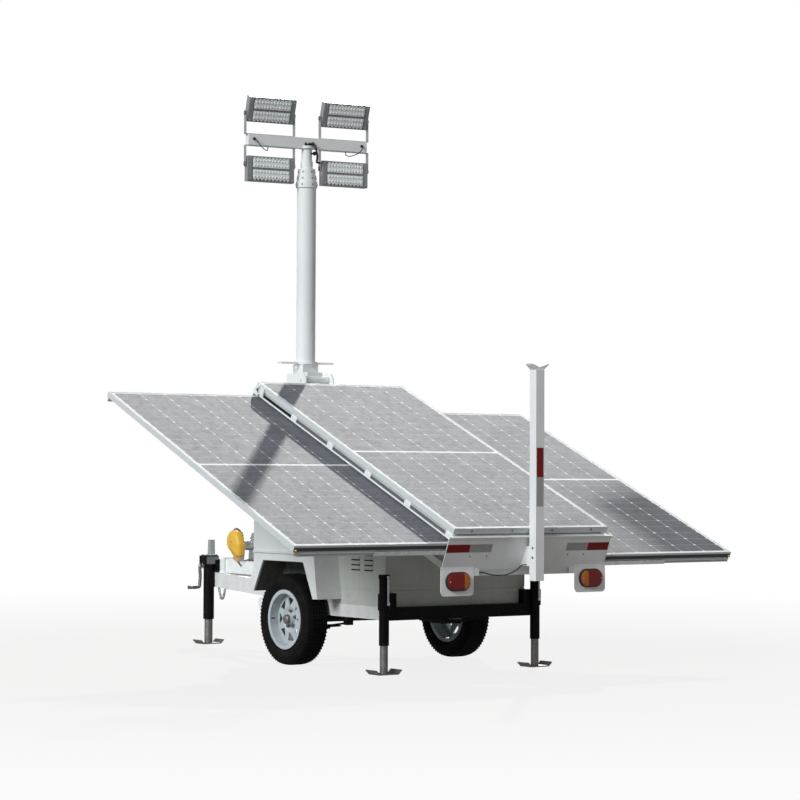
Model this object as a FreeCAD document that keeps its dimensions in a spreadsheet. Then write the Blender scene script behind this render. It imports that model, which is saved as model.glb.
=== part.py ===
import FreeCAD, Part
import os
import re
import Sketcher

# Towed lighting trailer with three solar panels, a folding telescopic mast and four floodlights.
# Millimetres. +X right, +Y towards the drawbar, +Z up; origin on the ground below the middle of the box.

SIZES = (
    # overall
    ("rear_overhang", 1648), ("drawbar_reach", 2122),
    # solar array, measured along its slope and square to it
    ("tilt", 22.93), ("array_height", 872), ("module_wide", 1134), ("module_long", 2278),
    ("module_deep", 35), ("frame_face", 11), ("frame_flange", 30), ("flange_thick", 2),
    ("glass_thick", 5), ("glass_sink", 1.5), ("slide_out", 1059),
    ("rail_drop", 47), ("rail_deep", 33), ("rail_wide", 38), ("spacer_long", 60), ("spacer_pitch", 440),
    ("rail_spacer_wide", 30), ("level_drop", 91), ("level_pitch", 91), ("drawer_gap", 12),
    ("slide_gap", 3), ("slide_tall", 32), ("slide_wall", 3), ("slide_depth", 15), ("slide_fit", 0.5),
    ("skirt_thick", 4), ("skirt_wide", 1200), ("skirt_deep", 254), ("lip_out", 8), ("lip_thick", 4),
    ("base_rail_tall", 40), ("base_rail_wide", 45), ("base_rail_x", 470),
    ("front_plate_wide", 1150), ("bracket_long", 60),
    # tail lamps
    ("plate_wide", 233), ("plate_tall", 165), ("plate_centre", 491), ("plate_corner", 22),
    ("plate_lap", 18), ("plate_step", 1), ("lamp_wide", 172), ("lamp_tall", 110), ("lamp_deep", 30),
    ("lamp_drop", 64), ("tab_wide", 40), ("tab_deep", 8), ("tab_tall", 38),
    ("tab_drop", 12),
    # mast rest post
    ("post_wide", 60), ("post_foot", 566), ("fork_reach", 66), ("fork_rise", 22), ("fork_bar", 16),
    ("fork_deep", 50), ("fork_gap", 40),
    # body
    ("tray_floor", 390), ("tray_tall", 95), ("seam", 3), ("seam_deep", 5), ("body_half", 523), ("body_rear", 845),
    ("body_front", 400), ("pod_half", 700), ("pod_rear", 380), ("pod_front", 340), ("pod_toe", 80),
    ("pod_knee", 590), ("pod_top", 980), ("pod_floor", 420), ("arch_low", 335), ("arch_high", 227),
    ("arch_top", 640), ("pod_lip", 12), ("lip_height", 686), ("lip_band", 14),
    ("liner_thick", 3), ("liner_setback", 8), ("border_wide", 16), ("border_out", 3),
    ("louvre_long", 92), ("louvre_tall", 20), ("louvre_out", 9), ("louvre_rows", 7), ("louvre_pitch", 30),
    ("louvre_low", 606), ("louvre_gap", 46), ("louvre_middle", 600),
    # chassis
    ("rail_x", 475), ("rail_thick", 50), ("rail_tall", 76), ("rail_front", 560), ("cross_thick", 50),
    ("leg_thick", 52), ("leg_tall", 100), ("leg_setback", 30), ("leg_spread", 500),
    ("beam_wide", 90), ("beam_tall", 95), ("flange_setback", 180), ("flange_wide", 118),
    ("flange_plate", 8), ("flange_gap", 0.5),
    ("neck_long", 150), ("neck_wide", 70), ("neck_tall", 58), ("neck_lift", 18), ("nose_radius", 42),
    ("socket_radius", 25.5), ("socket_deep", 40), ("lever_wide", 34), ("lever_tall", 146),
    # running gear
    ("tyre_radius", 281), ("tyre_wide", 170), ("tyre_wall", 12), ("half_track", 620), ("rim_radius", 165),
    ("rim_lip", 183), ("rim_half", 66), ("rim_fit", 0.3), ("rim_wall", 5), ("disc_thick", 6), ("hub_radius", 52),
    ("hub_long", 70), ("spindle_radius", 20), ("bearing_fit", 0.3), ("axle_radius", 25),
    ("window_inner", 78), ("window_outer", 132), ("window_wide", 74), ("windows", 8),
    ("spring_half", 430), ("spring_seat", 120), ("spring_fit", 0.3), ("spring_camber", 34), ("leaf_thick", 9),
    ("leaf_wide", 45), ("hanger_long", 40),
    # jacks
    ("rear_jack_x", 567), ("rear_jack_y", 893), ("rear_tube_radius", 30), ("rear_tube_top", 560),
    ("tube_foot", 170), ("rear_leg_radius", 24), ("leg_fit", 0.4), ("sleeve_radius", 37),
    ("sleeve_low", 377), ("sleeve_high", 474), ("cap_tall", 26), ("foot_long", 190), ("foot_wide", 110),
    ("foot_thick", 7), ("foot_bend", 26), ("front_jack_x", 105), ("jack_setback", 60),
    ("front_tube_radius", 37), ("front_leg_radius", 28), ("front_tube_top", 545), ("jack_stroke", 120),
    ("gearbox_tall", 62), ("gearbox_wide", 104), ("gearbox_long", 84), ("crank_radius", 8), ("crank_fit", 0.3),
    ("crank_bar", 22), ("crank_drop", 150), ("grip_long", 100), ("grip_radius", 14),
    # winch
    ("winch_setback", 380), ("winch_tall", 185), ("winch_half", 62), ("winch_plate", 4), ("drum_radius", 36),
    ("cover_long", 190), ("cover_thick", 24),
    # mast
    ("mast_y", 826), ("column_wide", 100), ("seat_top", 1834), ("seat_tall", 94), ("seat_floor", 8),
    ("seat_rear", 61), ("seat_front", 57), ("seat_round", 30), ("cheek_half", 110), ("cheek_thick", 8),
    ("hinge_back", 110), ("hinge_drop", 39), ("hinge_radius", 22.5), ("pin_radius", 11),
    ("pin_fit", 0.08), ("pin_out", 8), ("knuckle_half", 96), ("block_half", 60), ("block_tall", 63),
    ("foot_web", 52), ("rest_fit", 0.3), ("mast_radius", 63), ("mast_wall", 5), ("mast_long", 1169),
    ("mast_step", 9.5), ("mast_floor", 20), ("stage_rise", 12), ("ring_tall", 16), ("ring_out", 12),
    ("handle_reach", 190), ("handle_rod", 11), ("handle_half", 32), ("collar_radius", 71),
    ("collar_tall", 41), ("collar_step", 7), ("tip_collar", 40), ("tip_collar_tall", 52),
    ("guide_fit", 0.4), ("mast_turned", 8.24), ("brace_tall", 60), ("brace_low", 800),
    ("brace_high", 1200),
    # lamp bar and floodlights
    ("bar_half", 431), ("bar_wide", 50), ("bar_tall", 71), ("bar_rise", 295), ("lamp_body_wide", 334),
    ("lamp_body_tall", 165), ("lamp_body_deep", 50), ("lamp_fin_deep", 36), ("lamp_fins", 9),
    ("fin_thick", 5), ("fin_margin", 8), ("lamp_spacing", 540), ("upper_pivot", 175),
    ("lower_pivot", 160), ("pivot_offset", 30), ("yoke_gap", 6), ("yoke_thick", 5), ("yoke_wide", 30),
    ("upper_tilt", 20), ("pivot_radius", 8), ("pivot_fit", 0.08), ("pivot_out", 4), ("lens_out", 4),
    ("lens_border", 14), ("slot_tall", 10), ("end_plate", 34), ("pad_lap", 8),
    # leads
    ("feed_radius", 7), ("lead_radius", 3), ("tail_lead_radius", 3.5), ("lead_fit", 0.3),
)

NAMES = {name for name, size in SIZES}

# Places that several pieces share, in the sheet's own names
AXLE_Y = "((rear_overhang - drawbar_reach) / 2)"
POST_Y = f"({AXLE_Y} - rear_overhang + post_wide / 2)"
SKIRT_L = "(-drawer_gap - skirt_thick)"
LIP_L = f"({SKIRT_L} - lip_out)"
ARRAY_Y = f"({POST_Y} + post_wide / 2 - {LIP_L} * cos(tilt) - rail_drop * sin(tilt))"
BASE_D = "(skirt_deep + base_rail_tall)"
HINGE_Y = f"({AXLE_Y} + mast_y - hinge_back)"
MAST_Y = f"({AXLE_Y} + mast_y)"
PLATE_Y = f"({ARRAY_Y} + {SKIRT_L} * cos(tilt) + skirt_deep * sin(tilt) - plate_lap * tan(tilt) - plate_step)"
PLATE_TOP = f"(array_height + {SKIRT_L} * sin(tilt) - skirt_deep * cos(tilt) + plate_lap)"
TRAY_TOP = "(tray_floor + tray_tall)"
BEAM_LOW = "(tray_floor + leg_tall)"
BEAM_TOP = f"({BEAM_LOW} + beam_tall)"
NOSE_Y = f"({AXLE_Y} + drawbar_reach - nose_radius)"
BEAM_FRONT = "(drawbar_reach - nose_radius - neck_long)"
FRONT_JACK_Y = f"({AXLE_Y} + {BEAM_FRONT} - jack_setback)"
HINGE_Z = "(seat_top - hinge_drop)"
MAST_FOOT = "(seat_top + block_tall)"
MAST_TOP = f"({MAST_FOOT} + mast_long)"
BAR_Z = f"({MAST_TOP} + bar_rise)"
FOLDED_Z = f"({HINGE_Z} + hinge_back)"
FORK_Z = f"({FOLDED_Z} - mast_radius - fork_gap)"

doc = FreeCAD.newDocument("solar_lighting_trailer")
sheet = doc.addObject("Spreadsheet::Sheet", "Dims")
for row, (name, size) in enumerate(SIZES, start=1):
    sheet.set(f"A{row}", name)
    sheet.set(f"B{row}", str(size))
    sheet.setAlias(f"B{row}", name)
doc.recompute()

nodes = {}


def formula(text):
    """An expression in plain size names, as the document wants it."""
    return re.sub(r"[a-z]\w*", lambda m: f"Dims.{m.group()}" if m.group() in NAMES else m.group(), str(text))


def value(text):
    """What an expression comes to, in millimetres or degrees."""
    return float(sheet.evalExpression(formula(text)))


def bind(piece, **sizes):
    for prop, text in sizes.items():
        piece.setExpression(prop, formula(text))


def place(piece, x="0", y="0", z="0", axis=None, angle="0"):
    """Put a piece at a point, turned about an axis through it."""
    if axis is not None:
        piece.Placement.Rotation = FreeCAD.Rotation(FreeCAD.Vector(*axis), value(angle))
        if value(angle) and re.search("[a-z]", angle):
            piece.setExpression("Placement.Rotation.Angle", formula(angle))
    for letter, text in (("x", x), ("y", y), ("z", z)):
        piece.setExpression(f"Placement.Base.{letter}", formula(text))
    return piece


def lean(piece, x, along, up):
    """Put a piece on the sloping array: along the slope from its rear edge, and square to it."""
    y = f"{ARRAY_Y} + ({along}) * cos(tilt) - ({up}) * sin(tilt)"
    z = f"array_height + ({along}) * sin(tilt) + ({up}) * cos(tilt)"
    return place(piece, x, y, z, axis=(1, 0, 0), angle="tilt")


def box(name, long_x, long_y, long_z):
    piece = doc.addObject("Part::Box", name)
    bind(piece, Length=long_x, Width=long_y, Height=long_z)
    return piece


def rod(name, radius, length, axis="z"):
    """A cylinder from its base point along +X, +Y or +Z."""
    piece = doc.addObject("Part::Cylinder", name)
    bind(piece, Radius=radius, Height=length)
    turns = {"x": FreeCAD.Rotation(FreeCAD.Vector(0, 1, 0), 90), "y": FreeCAD.Rotation(FreeCAD.Vector(1, 0, 0), -90)}
    if axis in turns:
        piece.Placement.Rotation = turns[axis]
    return piece


def fuse(name, pieces):
    piece = doc.addObject("Part::MultiFuse", name)
    piece.Shapes = pieces
    return piece


def cut(name, base, tool):
    piece = doc.addObject("Part::Cut", name)
    piece.Base = base
    piece.Tool = tool
    return piece


def node(label, piece):
    """Name a finished sub-part; its label is its file."""
    piece.Label = label
    nodes[label] = piece
    return piece


def origin_plane(body, role):
    return next(item for item in body.Origin.OriginFeatures if item.Role == role)


def outline(body, name, role, points):
    """A closed sketch of straight edges on one of the body's own planes, each corner held by two sizes."""
    sketch = body.newObject("Sketcher::SketchObject", name)
    sketch.AttachmentSupport = [(origin_plane(body, role), "")]
    sketch.MapMode = "FlatFace"
    spots = [(value(a), value(b)) for a, b in points]
    count = len(points)
    for i, spot in enumerate(spots):
        following = spots[(i + 1) % count]
        start, end = FreeCAD.Vector(*spot, 0), FreeCAD.Vector(*following, 0)
        sketch.addGeometry(Part.LineSegment(start, end))
    for i in range(count):
        sketch.addConstraint(Sketcher.Constraint("Coincident", i, 2, (i + 1) % count, 1))
    for i, corner in enumerate(points):
        for kind, text, number in zip(("DistanceX", "DistanceY"), corner, spots[i]):
            held = sketch.addConstraint(Sketcher.Constraint(kind, -1, 1, i, 1, number))
            sketch.setExpression(f"Constraints[{held}]", formula(text))
    return sketch


def plate(name, role, points, thick, centred=False):
    """A body padded from a straight-edged outline."""
    body = doc.addObject("PartDesign::Body", name)
    pad = body.newObject("PartDesign::Pad", name + "_pad")
    sketch = outline(body, name + "_outline", role, points)
    pad.Profile = sketch
    pad.setExpression("Length", formula(thick))
    pad.SideType = "Symmetric" if centred else "One side"
    body.Tip = pad
    return body


def turned(name, points):
    """A body of revolution about X: each corner is a place along X and a radius."""
    body = doc.addObject("PartDesign::Body", name)
    sketch = outline(body, name + "_profile", "XY_Plane", points)
    spin = body.newObject("PartDesign::Revolution", name + "_turned")
    spin.Profile = sketch
    spin.ReferenceAxis = (sketch, ["H_Axis"])
    spin.Angle = 360
    body.Tip = spin
    return body


SIDES = (("left", "-1"), ("right", "1"))


# Chassis: two rails, cross members, and the two legs of the drawbar
def make_chassis():
    pieces = []
    for side, sign in SIDES:
        rail = box(f"{side}_rail", "rail_thick", "body_rear + rail_front", "rail_tall")
        place(rail, f"{sign} * (rail_x + rail_thick / 2) - rail_thick / 2", f"{AXLE_Y} - body_rear",
              "tray_floor - rail_tall")
        leg = plate(f"{side}_leg", "XY_Plane", [
            (f"{sign} * 4", f"{AXLE_Y} + {BEAM_FRONT} - leg_setback"),
            (f"{sign} * (leg_thick + 4)", f"{AXLE_Y} + {BEAM_FRONT} - leg_setback"),
            (f"{sign} * leg_spread", f"{AXLE_Y} + body_front"),
            (f"{sign} * (leg_spread - leg_thick * 1.05)", f"{AXLE_Y} + body_front"),
        ], "leg_tall")
        place(leg, z="tray_floor")
        pieces += [rail, leg]
    places = (("rear", "-body_rear + cross_thick"), ("middle", "-spring_half + hanger_long"),
              ("front", "rail_front - cross_thick"))
    for name, along in places:
        cross = box(f"{name}_cross", "2 * rail_x + rail_thick", "cross_thick", "rail_tall")
        place(cross, "-rail_x - rail_thick / 2", f"{AXLE_Y} + {along}", "tray_floor - rail_tall")
        pieces.append(cross)
    nose = box("leg_nose", "2 * leg_thick + 8", "70", "leg_tall")
    place(nose, "-leg_thick - 4", f"{AXLE_Y} + {BEAM_FRONT} - leg_setback - 70", "tray_floor")
    pieces.append(nose)
    return node("chassis_frame", fuse("chassis", pieces))


def make_rear_beam():
    bar = box("jack_beam", "2 * rear_jack_x - 2 * rear_tube_radius", "cross_thick", "rail_tall")
    place(bar, "-rear_jack_x + rear_tube_radius", f"{AXLE_Y} - body_rear - cross_thick", "tray_floor - rail_tall")
    pieces = [bar]
    for side, sign in SIDES:
        lug = box(f"{side}_jack_lug", "2 * rear_tube_radius", "rear_jack_y - body_rear", "sleeve_high - sleeve_low")
        place(lug, f"{sign} * (rear_jack_x - 2 * rear_tube_radius) - rear_tube_radius",
              f"{AXLE_Y} - rear_jack_y", "sleeve_low")
        pieces.append(lug)
    sleeves = []
    for side, sign in SIDES:
        space = rod(f"{side}_lug_space", "sleeve_radius", "rear_tube_top")
        place(space, f"{sign} * rear_jack_x", f"{AXLE_Y} - rear_jack_y", "tube_foot")
        sleeves.append(space)
    return node("rear_beam", cut("rear_beam_cut", fuse("rear_beam_solid", pieces), fuse("sleeve_spaces", sleeves)))


def make_drawbar():
    beam = box("beam", "beam_wide", f"{BEAM_FRONT} - body_front", "beam_tall")
    place(beam, "-beam_wide / 2", f"{AXLE_Y} + body_front", BEAM_LOW)
    pieces = [beam]
    for name, shift in (("front", "0"), ("rear", "-flange_plate - flange_gap")):
        collar = box(f"{name}_flange", "flange_wide", "flange_plate", "flange_wide - 12")
        place(collar, "-flange_wide / 2", f"{AXLE_Y} + {BEAM_FRONT} - flange_setback + {shift}", BEAM_LOW)
        pieces.append(collar)
    return node("drawbar_beam", fuse("drawbar", pieces))


def make_coupler():
    """Ball coupler: a pressed housing with a domed nose, and its lever standing up."""
    low = f"{BEAM_LOW} + neck_lift"
    neck = box("coupler_neck", "neck_wide", "neck_long", "neck_tall")
    place(neck, "-neck_wide / 2", f"{NOSE_Y} - neck_long", low)
    dome = rod("coupler_dome", "nose_radius", "neck_tall")
    place(dome, "0", NOSE_Y, low)
    socket = rod("coupler_socket", "socket_radius", "socket_deep")
    place(socket, "0", NOSE_Y, low)
    top = f"{low} + neck_tall"
    lever = plate("coupler_lever", "YZ_Plane", [
        (f"{NOSE_Y} - 92", top), (f"{NOSE_Y} - 40", top),
        (f"{NOSE_Y} - 52", f"{top} + lever_tall"), (f"{NOSE_Y} - 84", f"{top} + lever_tall"),
    ], "lever_wide", centred=True)
    return node("coupler", cut("coupler_cut", fuse("coupler_solid", [neck, dome, lever]), socket))


# Body: a low tray, the cabinet with its sloping roof, and a pod over each wheel
def roof_height(y):
    """Height of the array's base rails' underside above a place along Y, measured from the axle."""
    return (f"array_height + ({AXLE_Y} + ({y}) - {ARRAY_Y}) * tan(tilt) - {BASE_D} / cos(tilt)")


def make_body():
    tray = box("tray_box", "2 * body_half", "body_rear + body_front", "tray_tall")
    place(tray, "-body_half", f"{AXLE_Y} - body_rear", "tray_floor")
    node("battery_tray", tray)
    shell = plate("cabinet_shell", "YZ_Plane", [
        (f"{AXLE_Y} - body_rear", f"{TRAY_TOP} + seam"), (f"{AXLE_Y} + body_front", f"{TRAY_TOP} + seam"),
        (f"{AXLE_Y} + body_front", roof_height("body_front")), (f"{AXLE_Y} - body_rear", roof_height("-body_rear")),
    ], "2 * body_half", centred=True)
    plinth = box("cabinet_plinth", "2 * (body_half - seam_deep)", "body_rear + body_front - 2 * seam_deep", "seam")
    place(plinth, "-body_half + seam_deep", f"{AXLE_Y} - body_rear + seam_deep", TRAY_TOP)
    pieces = [shell, plinth]
    rows = int(value("louvre_rows"))
    for side, sign in SIDES:
        for column, shift in (("a", "-louvre_gap / 2 - louvre_long"), ("b", "louvre_gap / 2")):
            for row in range(rows):
                low = f"louvre_low + {row} * louvre_pitch"
                slat = plate(f"{side}_louvre_{column}{row}", "XZ_Plane", [
                    (f"{sign} * (body_half - 1)", low), (f"{sign} * (body_half + louvre_out)", low),
                    (f"{sign} * (body_half - 1)", f"{low} + louvre_tall"),
                ], "louvre_long")
                place(slat, y=f"{AXLE_Y} - louvre_middle + {shift} + louvre_long")
                pieces.append(slat)
    node("cabinet", fuse("cabinet_solid", pieces))


def arch_strip(name, inside, outside, thick):
    """A strip that follows a wheel arch, between two distances out from its edge."""
    slant = "(arch_low - arch_high) / (arch_top - pod_floor)"
    points = []
    for out, ends in ((outside, ("-", "")), (inside, ("", "-"))):
        foot = f"(arch_low + 1.11 * ({out}))"
        knee = f"(arch_high + 1.11 * ({out}) - ({out}) * {slant})"
        sides = []
        for end in ends:
            base = "pod_floor" if end else "pod_floor + 24"
            sides.append([(f"{AXLE_Y} + {end}1 * {foot}", base), (f"{AXLE_Y} + {end}1 * {knee}", f"arch_top + {out}")])
        points += sides[0] + sides[1][::-1]
    return plate(name, "YZ_Plane", points, thick)


def make_arch_liners():
    """Dark inner skin of each wheel arch."""
    liners = []
    for side, sign in SIDES:
        liner = arch_strip(f"{side}_liner", "-liner_thick", "0", "pod_half - body_half - liner_setback")
        liners.append(place(liner, "body_half" if sign == "1" else "-pod_half + liner_setback"))
    return node("arch_liners", fuse("liners", liners))


def make_pods():
    pieces = []
    for side, sign in SIDES:
        wall = plate(f"{side}_pod_wall", "YZ_Plane", [
            (f"{AXLE_Y} - pod_rear", "pod_floor"), (f"{AXLE_Y} - arch_low", "pod_floor"),
            (f"{AXLE_Y} - arch_high", "arch_top"), (f"{AXLE_Y} + arch_high", "arch_top"),
            (f"{AXLE_Y} + arch_low", "pod_floor + 24"), (f"{AXLE_Y} + pod_front + pod_toe", "pod_floor + 24"),
            (f"{AXLE_Y} + pod_front", "pod_knee"), (f"{AXLE_Y} + pod_front", "pod_top"),
            (f"{AXLE_Y} - pod_rear + 120", "pod_top"), (f"{AXLE_Y} - pod_rear + 40", "lip_height"),
        ], "pod_half - body_half")
        place(wall, "body_half" if sign == "1" else "-pod_half")
        ledge = box(f"{side}_pod_ledge", "pod_lip", "pod_front + pod_rear - 50", "lip_band")
        place(ledge, "pod_half - 2" if sign == "1" else "-pod_half - pod_lip + 2", f"{AXLE_Y} - pod_rear + 45",
              "lip_height")
        border = arch_strip(f"{side}_arch_border", "0", "border_wide", "border_out + 1")
        place(border, "pod_half - 1" if sign == "1" else "-pod_half - border_out")
        pieces += [wall, ledge, border]
    return node("wheel_pods", fuse("pods", pieces))


# Sloping array
def ring(name, long_x, long_l, deep, wall):
    """A rectangular frame as a box less the box inside it, both from the same corner."""
    outer = box(name + "_outer", long_x, long_l, deep)
    inner = box(name + "_inner", f"{long_x} - 2 * ({wall})", f"{long_l} - 2 * ({wall})", f"{deep} + 2")
    place(inner, wall, wall, "-1")
    return cut(name, outer, inner)


def make_module(name, left_x, top):
    """A framed panel: aluminium frame with a bottom flange, and its glass, placed by its left edge and top."""
    face = ring(f"{name}_face", "module_wide", "module_long", "module_deep", "frame_face")
    foot = ring(f"{name}_foot", "module_wide", "module_long", "flange_thick", "frame_flange")
    frame = fuse(f"{name}_frame_solid", [face, foot])
    lean(frame, left_x, "0", f"{top} - module_deep")
    glass = box(f"{name}_glass_solid", "module_wide - 2 * frame_face", "module_long - 2 * frame_face",
                "glass_thick")
    lean(glass, f"{left_x} + frame_face", "frame_face", f"{top} - glass_sink - glass_thick")
    return frame, glass


LEVELS = {"left": "(-level_drop)", "right": "(-level_drop - level_pitch)"}
REST_X = {"left": "(-module_wide / 2 - slide_out)", "right": "(module_wide / 2 + slide_out - module_wide)"}


def slide_profile(part, end):
    """Section of a telescopic slide's member in the array's own plane: along the slope, and up."""
    wall, fit = "slide_wall", "slide_fit"
    if part == "outer":
        low, high, web = "0", "slide_tall", "0"
        reach = "slide_depth"
    else:
        low, high = f"{wall} + {fit}", f"slide_tall - {wall} - {fit}"
        web, reach = f"{wall} + {fit}", f"slide_depth - {fit}"
    points = [(web, low), (reach, low), (reach, f"{low} + {wall}"), (f"{web} + {wall}", f"{low} + {wall}"),
              (f"{web} + {wall}", f"{high} - {wall}"), (reach, f"{high} - {wall}"), (reach, high), (web, high)]
    if part == "inner":
        low, high = f"2 * {wall} + 2 * {fit}", f"slide_tall - 2 * {wall} - 2 * {fit}"
        back, web = f"2 * {wall} + 2 * {fit}", f"slide_depth + {fit}"
        points = [(back, low), (f"{web} + {wall}", low), (f"{web} + {wall}", "slide_tall + slide_gap"),
                  (web, "slide_tall + slide_gap"), (web, high), (back, high), (back, f"{high} - {wall}"),
                  (web, f"{high} - {wall}"), (web, f"{low} + {wall}"), (back, f"{low} + {wall}")]
    sign = "1" if end == "rear" else "-1"
    return [(f"{sign} * ({a})", b) for a, b in points]


def slide_member(side, part, end, left_x, length):
    start = "-drawer_gap" if end == "rear" else "module_long + drawer_gap"
    member = plate(f"{side}_{end}_{part}_slide", "YZ_Plane", slide_profile(part, end), length)
    top = f"{LEVELS[side]} - module_deep - slide_gap - slide_tall"
    return lean(member, left_x, start, top)


def make_array():
    top_rails, base_rails = [], []
    for side, sign in SIDES:
        left = "module_wide / 2 - rail_wide" if sign == "1" else "-module_wide / 2"
        rail = box(f"{side}_top_rail", "rail_wide", "module_long + 2 * drawer_gap", "rail_deep")
        top_rails.append(lean(rail, left, "-drawer_gap", "-rail_drop - rail_deep"))
        for i in range(6):
            spacer = box(f"{side}_spacer_{i}", "rail_spacer_wide", "spacer_long", "rail_drop - module_deep")
            inner = "module_wide / 2 - rail_spacer_wide - 4" if sign == "1" else "-module_wide / 2 + 4"
            top_rails.append(lean(spacer, inner, f"{i} * spacer_pitch + 9", "-rail_drop"))
        base = box(f"{side}_base_rail", "base_rail_wide", "module_long + 2 * drawer_gap + 2 * skirt_thick",
                   "base_rail_tall")
        low_x = "base_rail_x" if sign == "1" else "-base_rail_x - base_rail_wide"
        base_rails.append(lean(base, low_x, SKIRT_L, f"-{BASE_D}"))
    for name, along in (("rear", "-drawer_gap"), ("middle", "module_long / 2"), ("front", "module_long + drawer_gap - rail_wide")):
        cross = box(f"{name}_top_cross", "module_wide - 2 * rail_wide", "rail_wide", "rail_deep")
        top_rails.append(lean(cross, "-module_wide / 2 + rail_wide", along, "-rail_drop - rail_deep"))
        tie = box(f"{name}_base_tie", "2 * base_rail_x", "base_rail_wide", "base_rail_tall")
        base_rails.append(lean(tie, "-base_rail_x", along, f"-{BASE_D}"))
    node("array_top_frame", fuse("array_top", top_rails))
    front = box("front_board", "front_plate_wide", "skirt_thick", "skirt_deep - rail_drop")
    lean(front, "-front_plate_wide / 2", "module_long + drawer_gap", "-skirt_deep")
    front_pieces = [front]
    for side, sign in SIDES:
        tab = box(f"{side}_corner_tab", "skirt_thick", "bracket_long", "rail_deep + 10")
        edge = "front_plate_wide / 2 - skirt_thick" if sign == "1" else "-front_plate_wide / 2"
        front_pieces.append(lean(tab, edge, "module_long + drawer_gap + skirt_thick - bracket_long",
                                 "-rail_drop - rail_deep"))
    node("array_base_frame", fuse("array_base", base_rails + front_pieces))
    outers = []
    for side, sign in SIDES:
        for end in ("rear", "front"):
            outers.append(slide_member(side, "outer", end, "-module_wide / 2 + 7", "module_wide - 14"))
    node("slide_channels", fuse("channels", outers))
    frame, glass = make_module("centre", "-module_wide / 2", "0")
    node("centre_panel_frame", frame)
    node("centre_panel_glass", glass)
    for side, sign in SIDES:
        frame, glass = make_module(side, REST_X[side], LEVELS[side])
        runners = [frame]
        mids = []
        mid_x = f"{sign} * (module_wide / 2 - 7) + {sign} * slide_out / 2"
        start = f"{mid_x} - (module_wide - 14)" if sign == "1" else mid_x
        for end in ("rear", "front"):
            runners.append(slide_member(side, "inner", end, f"{REST_X[side]} + 7", "module_wide - 14"))
            mids.append(slide_member(side, "middle", end, start, "module_wide - 14"))
        node(f"{side}_panel_frame", fuse(f"{side}_panel", runners))
        node(f"{side}_panel_glass", glass)
        node(f"{side}_slide_middles", fuse(f"{side}_mids", mids))


def make_skirt():
    board = box("skirt_board", "skirt_wide", "skirt_thick", "skirt_deep - rail_drop")
    lean(board, "-skirt_wide / 2", SKIRT_L, "-skirt_deep")
    lip = box("skirt_lip", "skirt_wide", "lip_out + skirt_thick", "lip_thick")
    lean(lip, "-skirt_wide / 2", LIP_L, "-rail_drop - lip_thick")
    pieces = [board, lip]
    for side, sign in SIDES:
        centre = f"{sign} * plate_centre"
        holder = plate(f"{side}_lamp_plate", "XZ_Plane", [
            (f"{centre} - plate_wide / 2", f"{PLATE_TOP} - plate_tall + plate_corner"),
            (f"{centre} - plate_wide / 2 + plate_corner", f"{PLATE_TOP} - plate_tall"),
            (f"{centre} + plate_wide / 2 - plate_corner", f"{PLATE_TOP} - plate_tall"),
            (f"{centre} + plate_wide / 2", f"{PLATE_TOP} - plate_tall + plate_corner"),
            (f"{centre} + plate_wide / 2", PLATE_TOP), (f"{centre} - plate_wide / 2", PLATE_TOP),
        ], "skirt_thick")
        place(holder, y=f"{PLATE_Y} + skirt_thick")
        tab = box(f"{side}_lead_tab", "tab_wide", "tab_deep", "tab_tall")
        tab_x = f"{centre} - plate_wide / 2 - tab_wide" if sign == "1" else f"{centre} + plate_wide / 2"
        pieces += [holder, place(tab, tab_x, PLATE_Y, f"{PLATE_TOP} - tab_drop - tab_tall")]
    node("rear_skirt", fuse("skirt", pieces))
    lenses = []
    lamp_z = f"{PLATE_TOP} - plate_lap - lamp_drop"
    for side, sign in SIDES:
        centre = f"{sign} * plate_centre"
        half = "(lamp_wide / 2 - lamp_tall / 2)"
        middle = box(f"{side}_lens_middle", f"2 * {half}", "lamp_deep", "lamp_tall")
        place(middle, f"{centre} - {half}", f"{PLATE_Y} - lamp_deep", f"{lamp_z} - lamp_tall / 2")
        lenses.append(middle)
        for end, way in (("inner", "-1"), ("outer", "1")):
            cap = rod(f"{side}_lens_{end}", "lamp_tall / 2", "lamp_deep", "y")
            place(cap, f"{centre} + {way} * {half}", f"{PLATE_Y} - lamp_deep", lamp_z)
            lenses.append(cap)
    node("tail_lamps", fuse("lenses", lenses))


def make_rest_post():
    """Square post behind the skirt, with a V fork that takes the folded mast."""
    tube = box("post_tube", "post_wide", "post_wide", f"{FORK_Z} - fork_bar - post_foot")
    place(tube, "-post_wide / 2", f"{POST_Y} - post_wide / 2", "post_foot")
    vee = plate("post_vee", "XZ_Plane", [
        ("-post_wide / 2", f"{FORK_Z} - fork_bar"), ("post_wide / 2", f"{FORK_Z} - fork_bar"),
        ("fork_reach", f"{FORK_Z} + fork_rise - fork_bar / 2"), ("fork_reach", f"{FORK_Z} + fork_rise"),
        ("0", FORK_Z), ("-fork_reach", f"{FORK_Z} + fork_rise"),
        ("-fork_reach", f"{FORK_Z} + fork_rise - fork_bar / 2"),
    ], "fork_deep", centred=True)
    place(vee, y=POST_Y)
    reach = f"{SKIRT_L} * cos(tilt)"
    gusset = plate("post_gusset", "YZ_Plane", [
        (f"{POST_Y} + post_wide / 2", "array_height - rail_drop - 60"),
        (f"{ARRAY_Y} + {reach} + (rail_drop + 60) * sin(tilt)", "array_height - rail_drop - 60"),
        (f"{ARRAY_Y} + {reach} + (skirt_deep - 20) * sin(tilt)",
         f"array_height + {SKIRT_L} * sin(tilt) - (skirt_deep - 20) * cos(tilt)"),
        (f"{POST_Y} + post_wide / 2", f"array_height + {SKIRT_L} * sin(tilt) - (skirt_deep - 20) * cos(tilt)"),
    ], "post_wide", centred=True)
    return node("mast_rest_post", fuse("rest_post", [tube, vee, gusset]))


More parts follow.
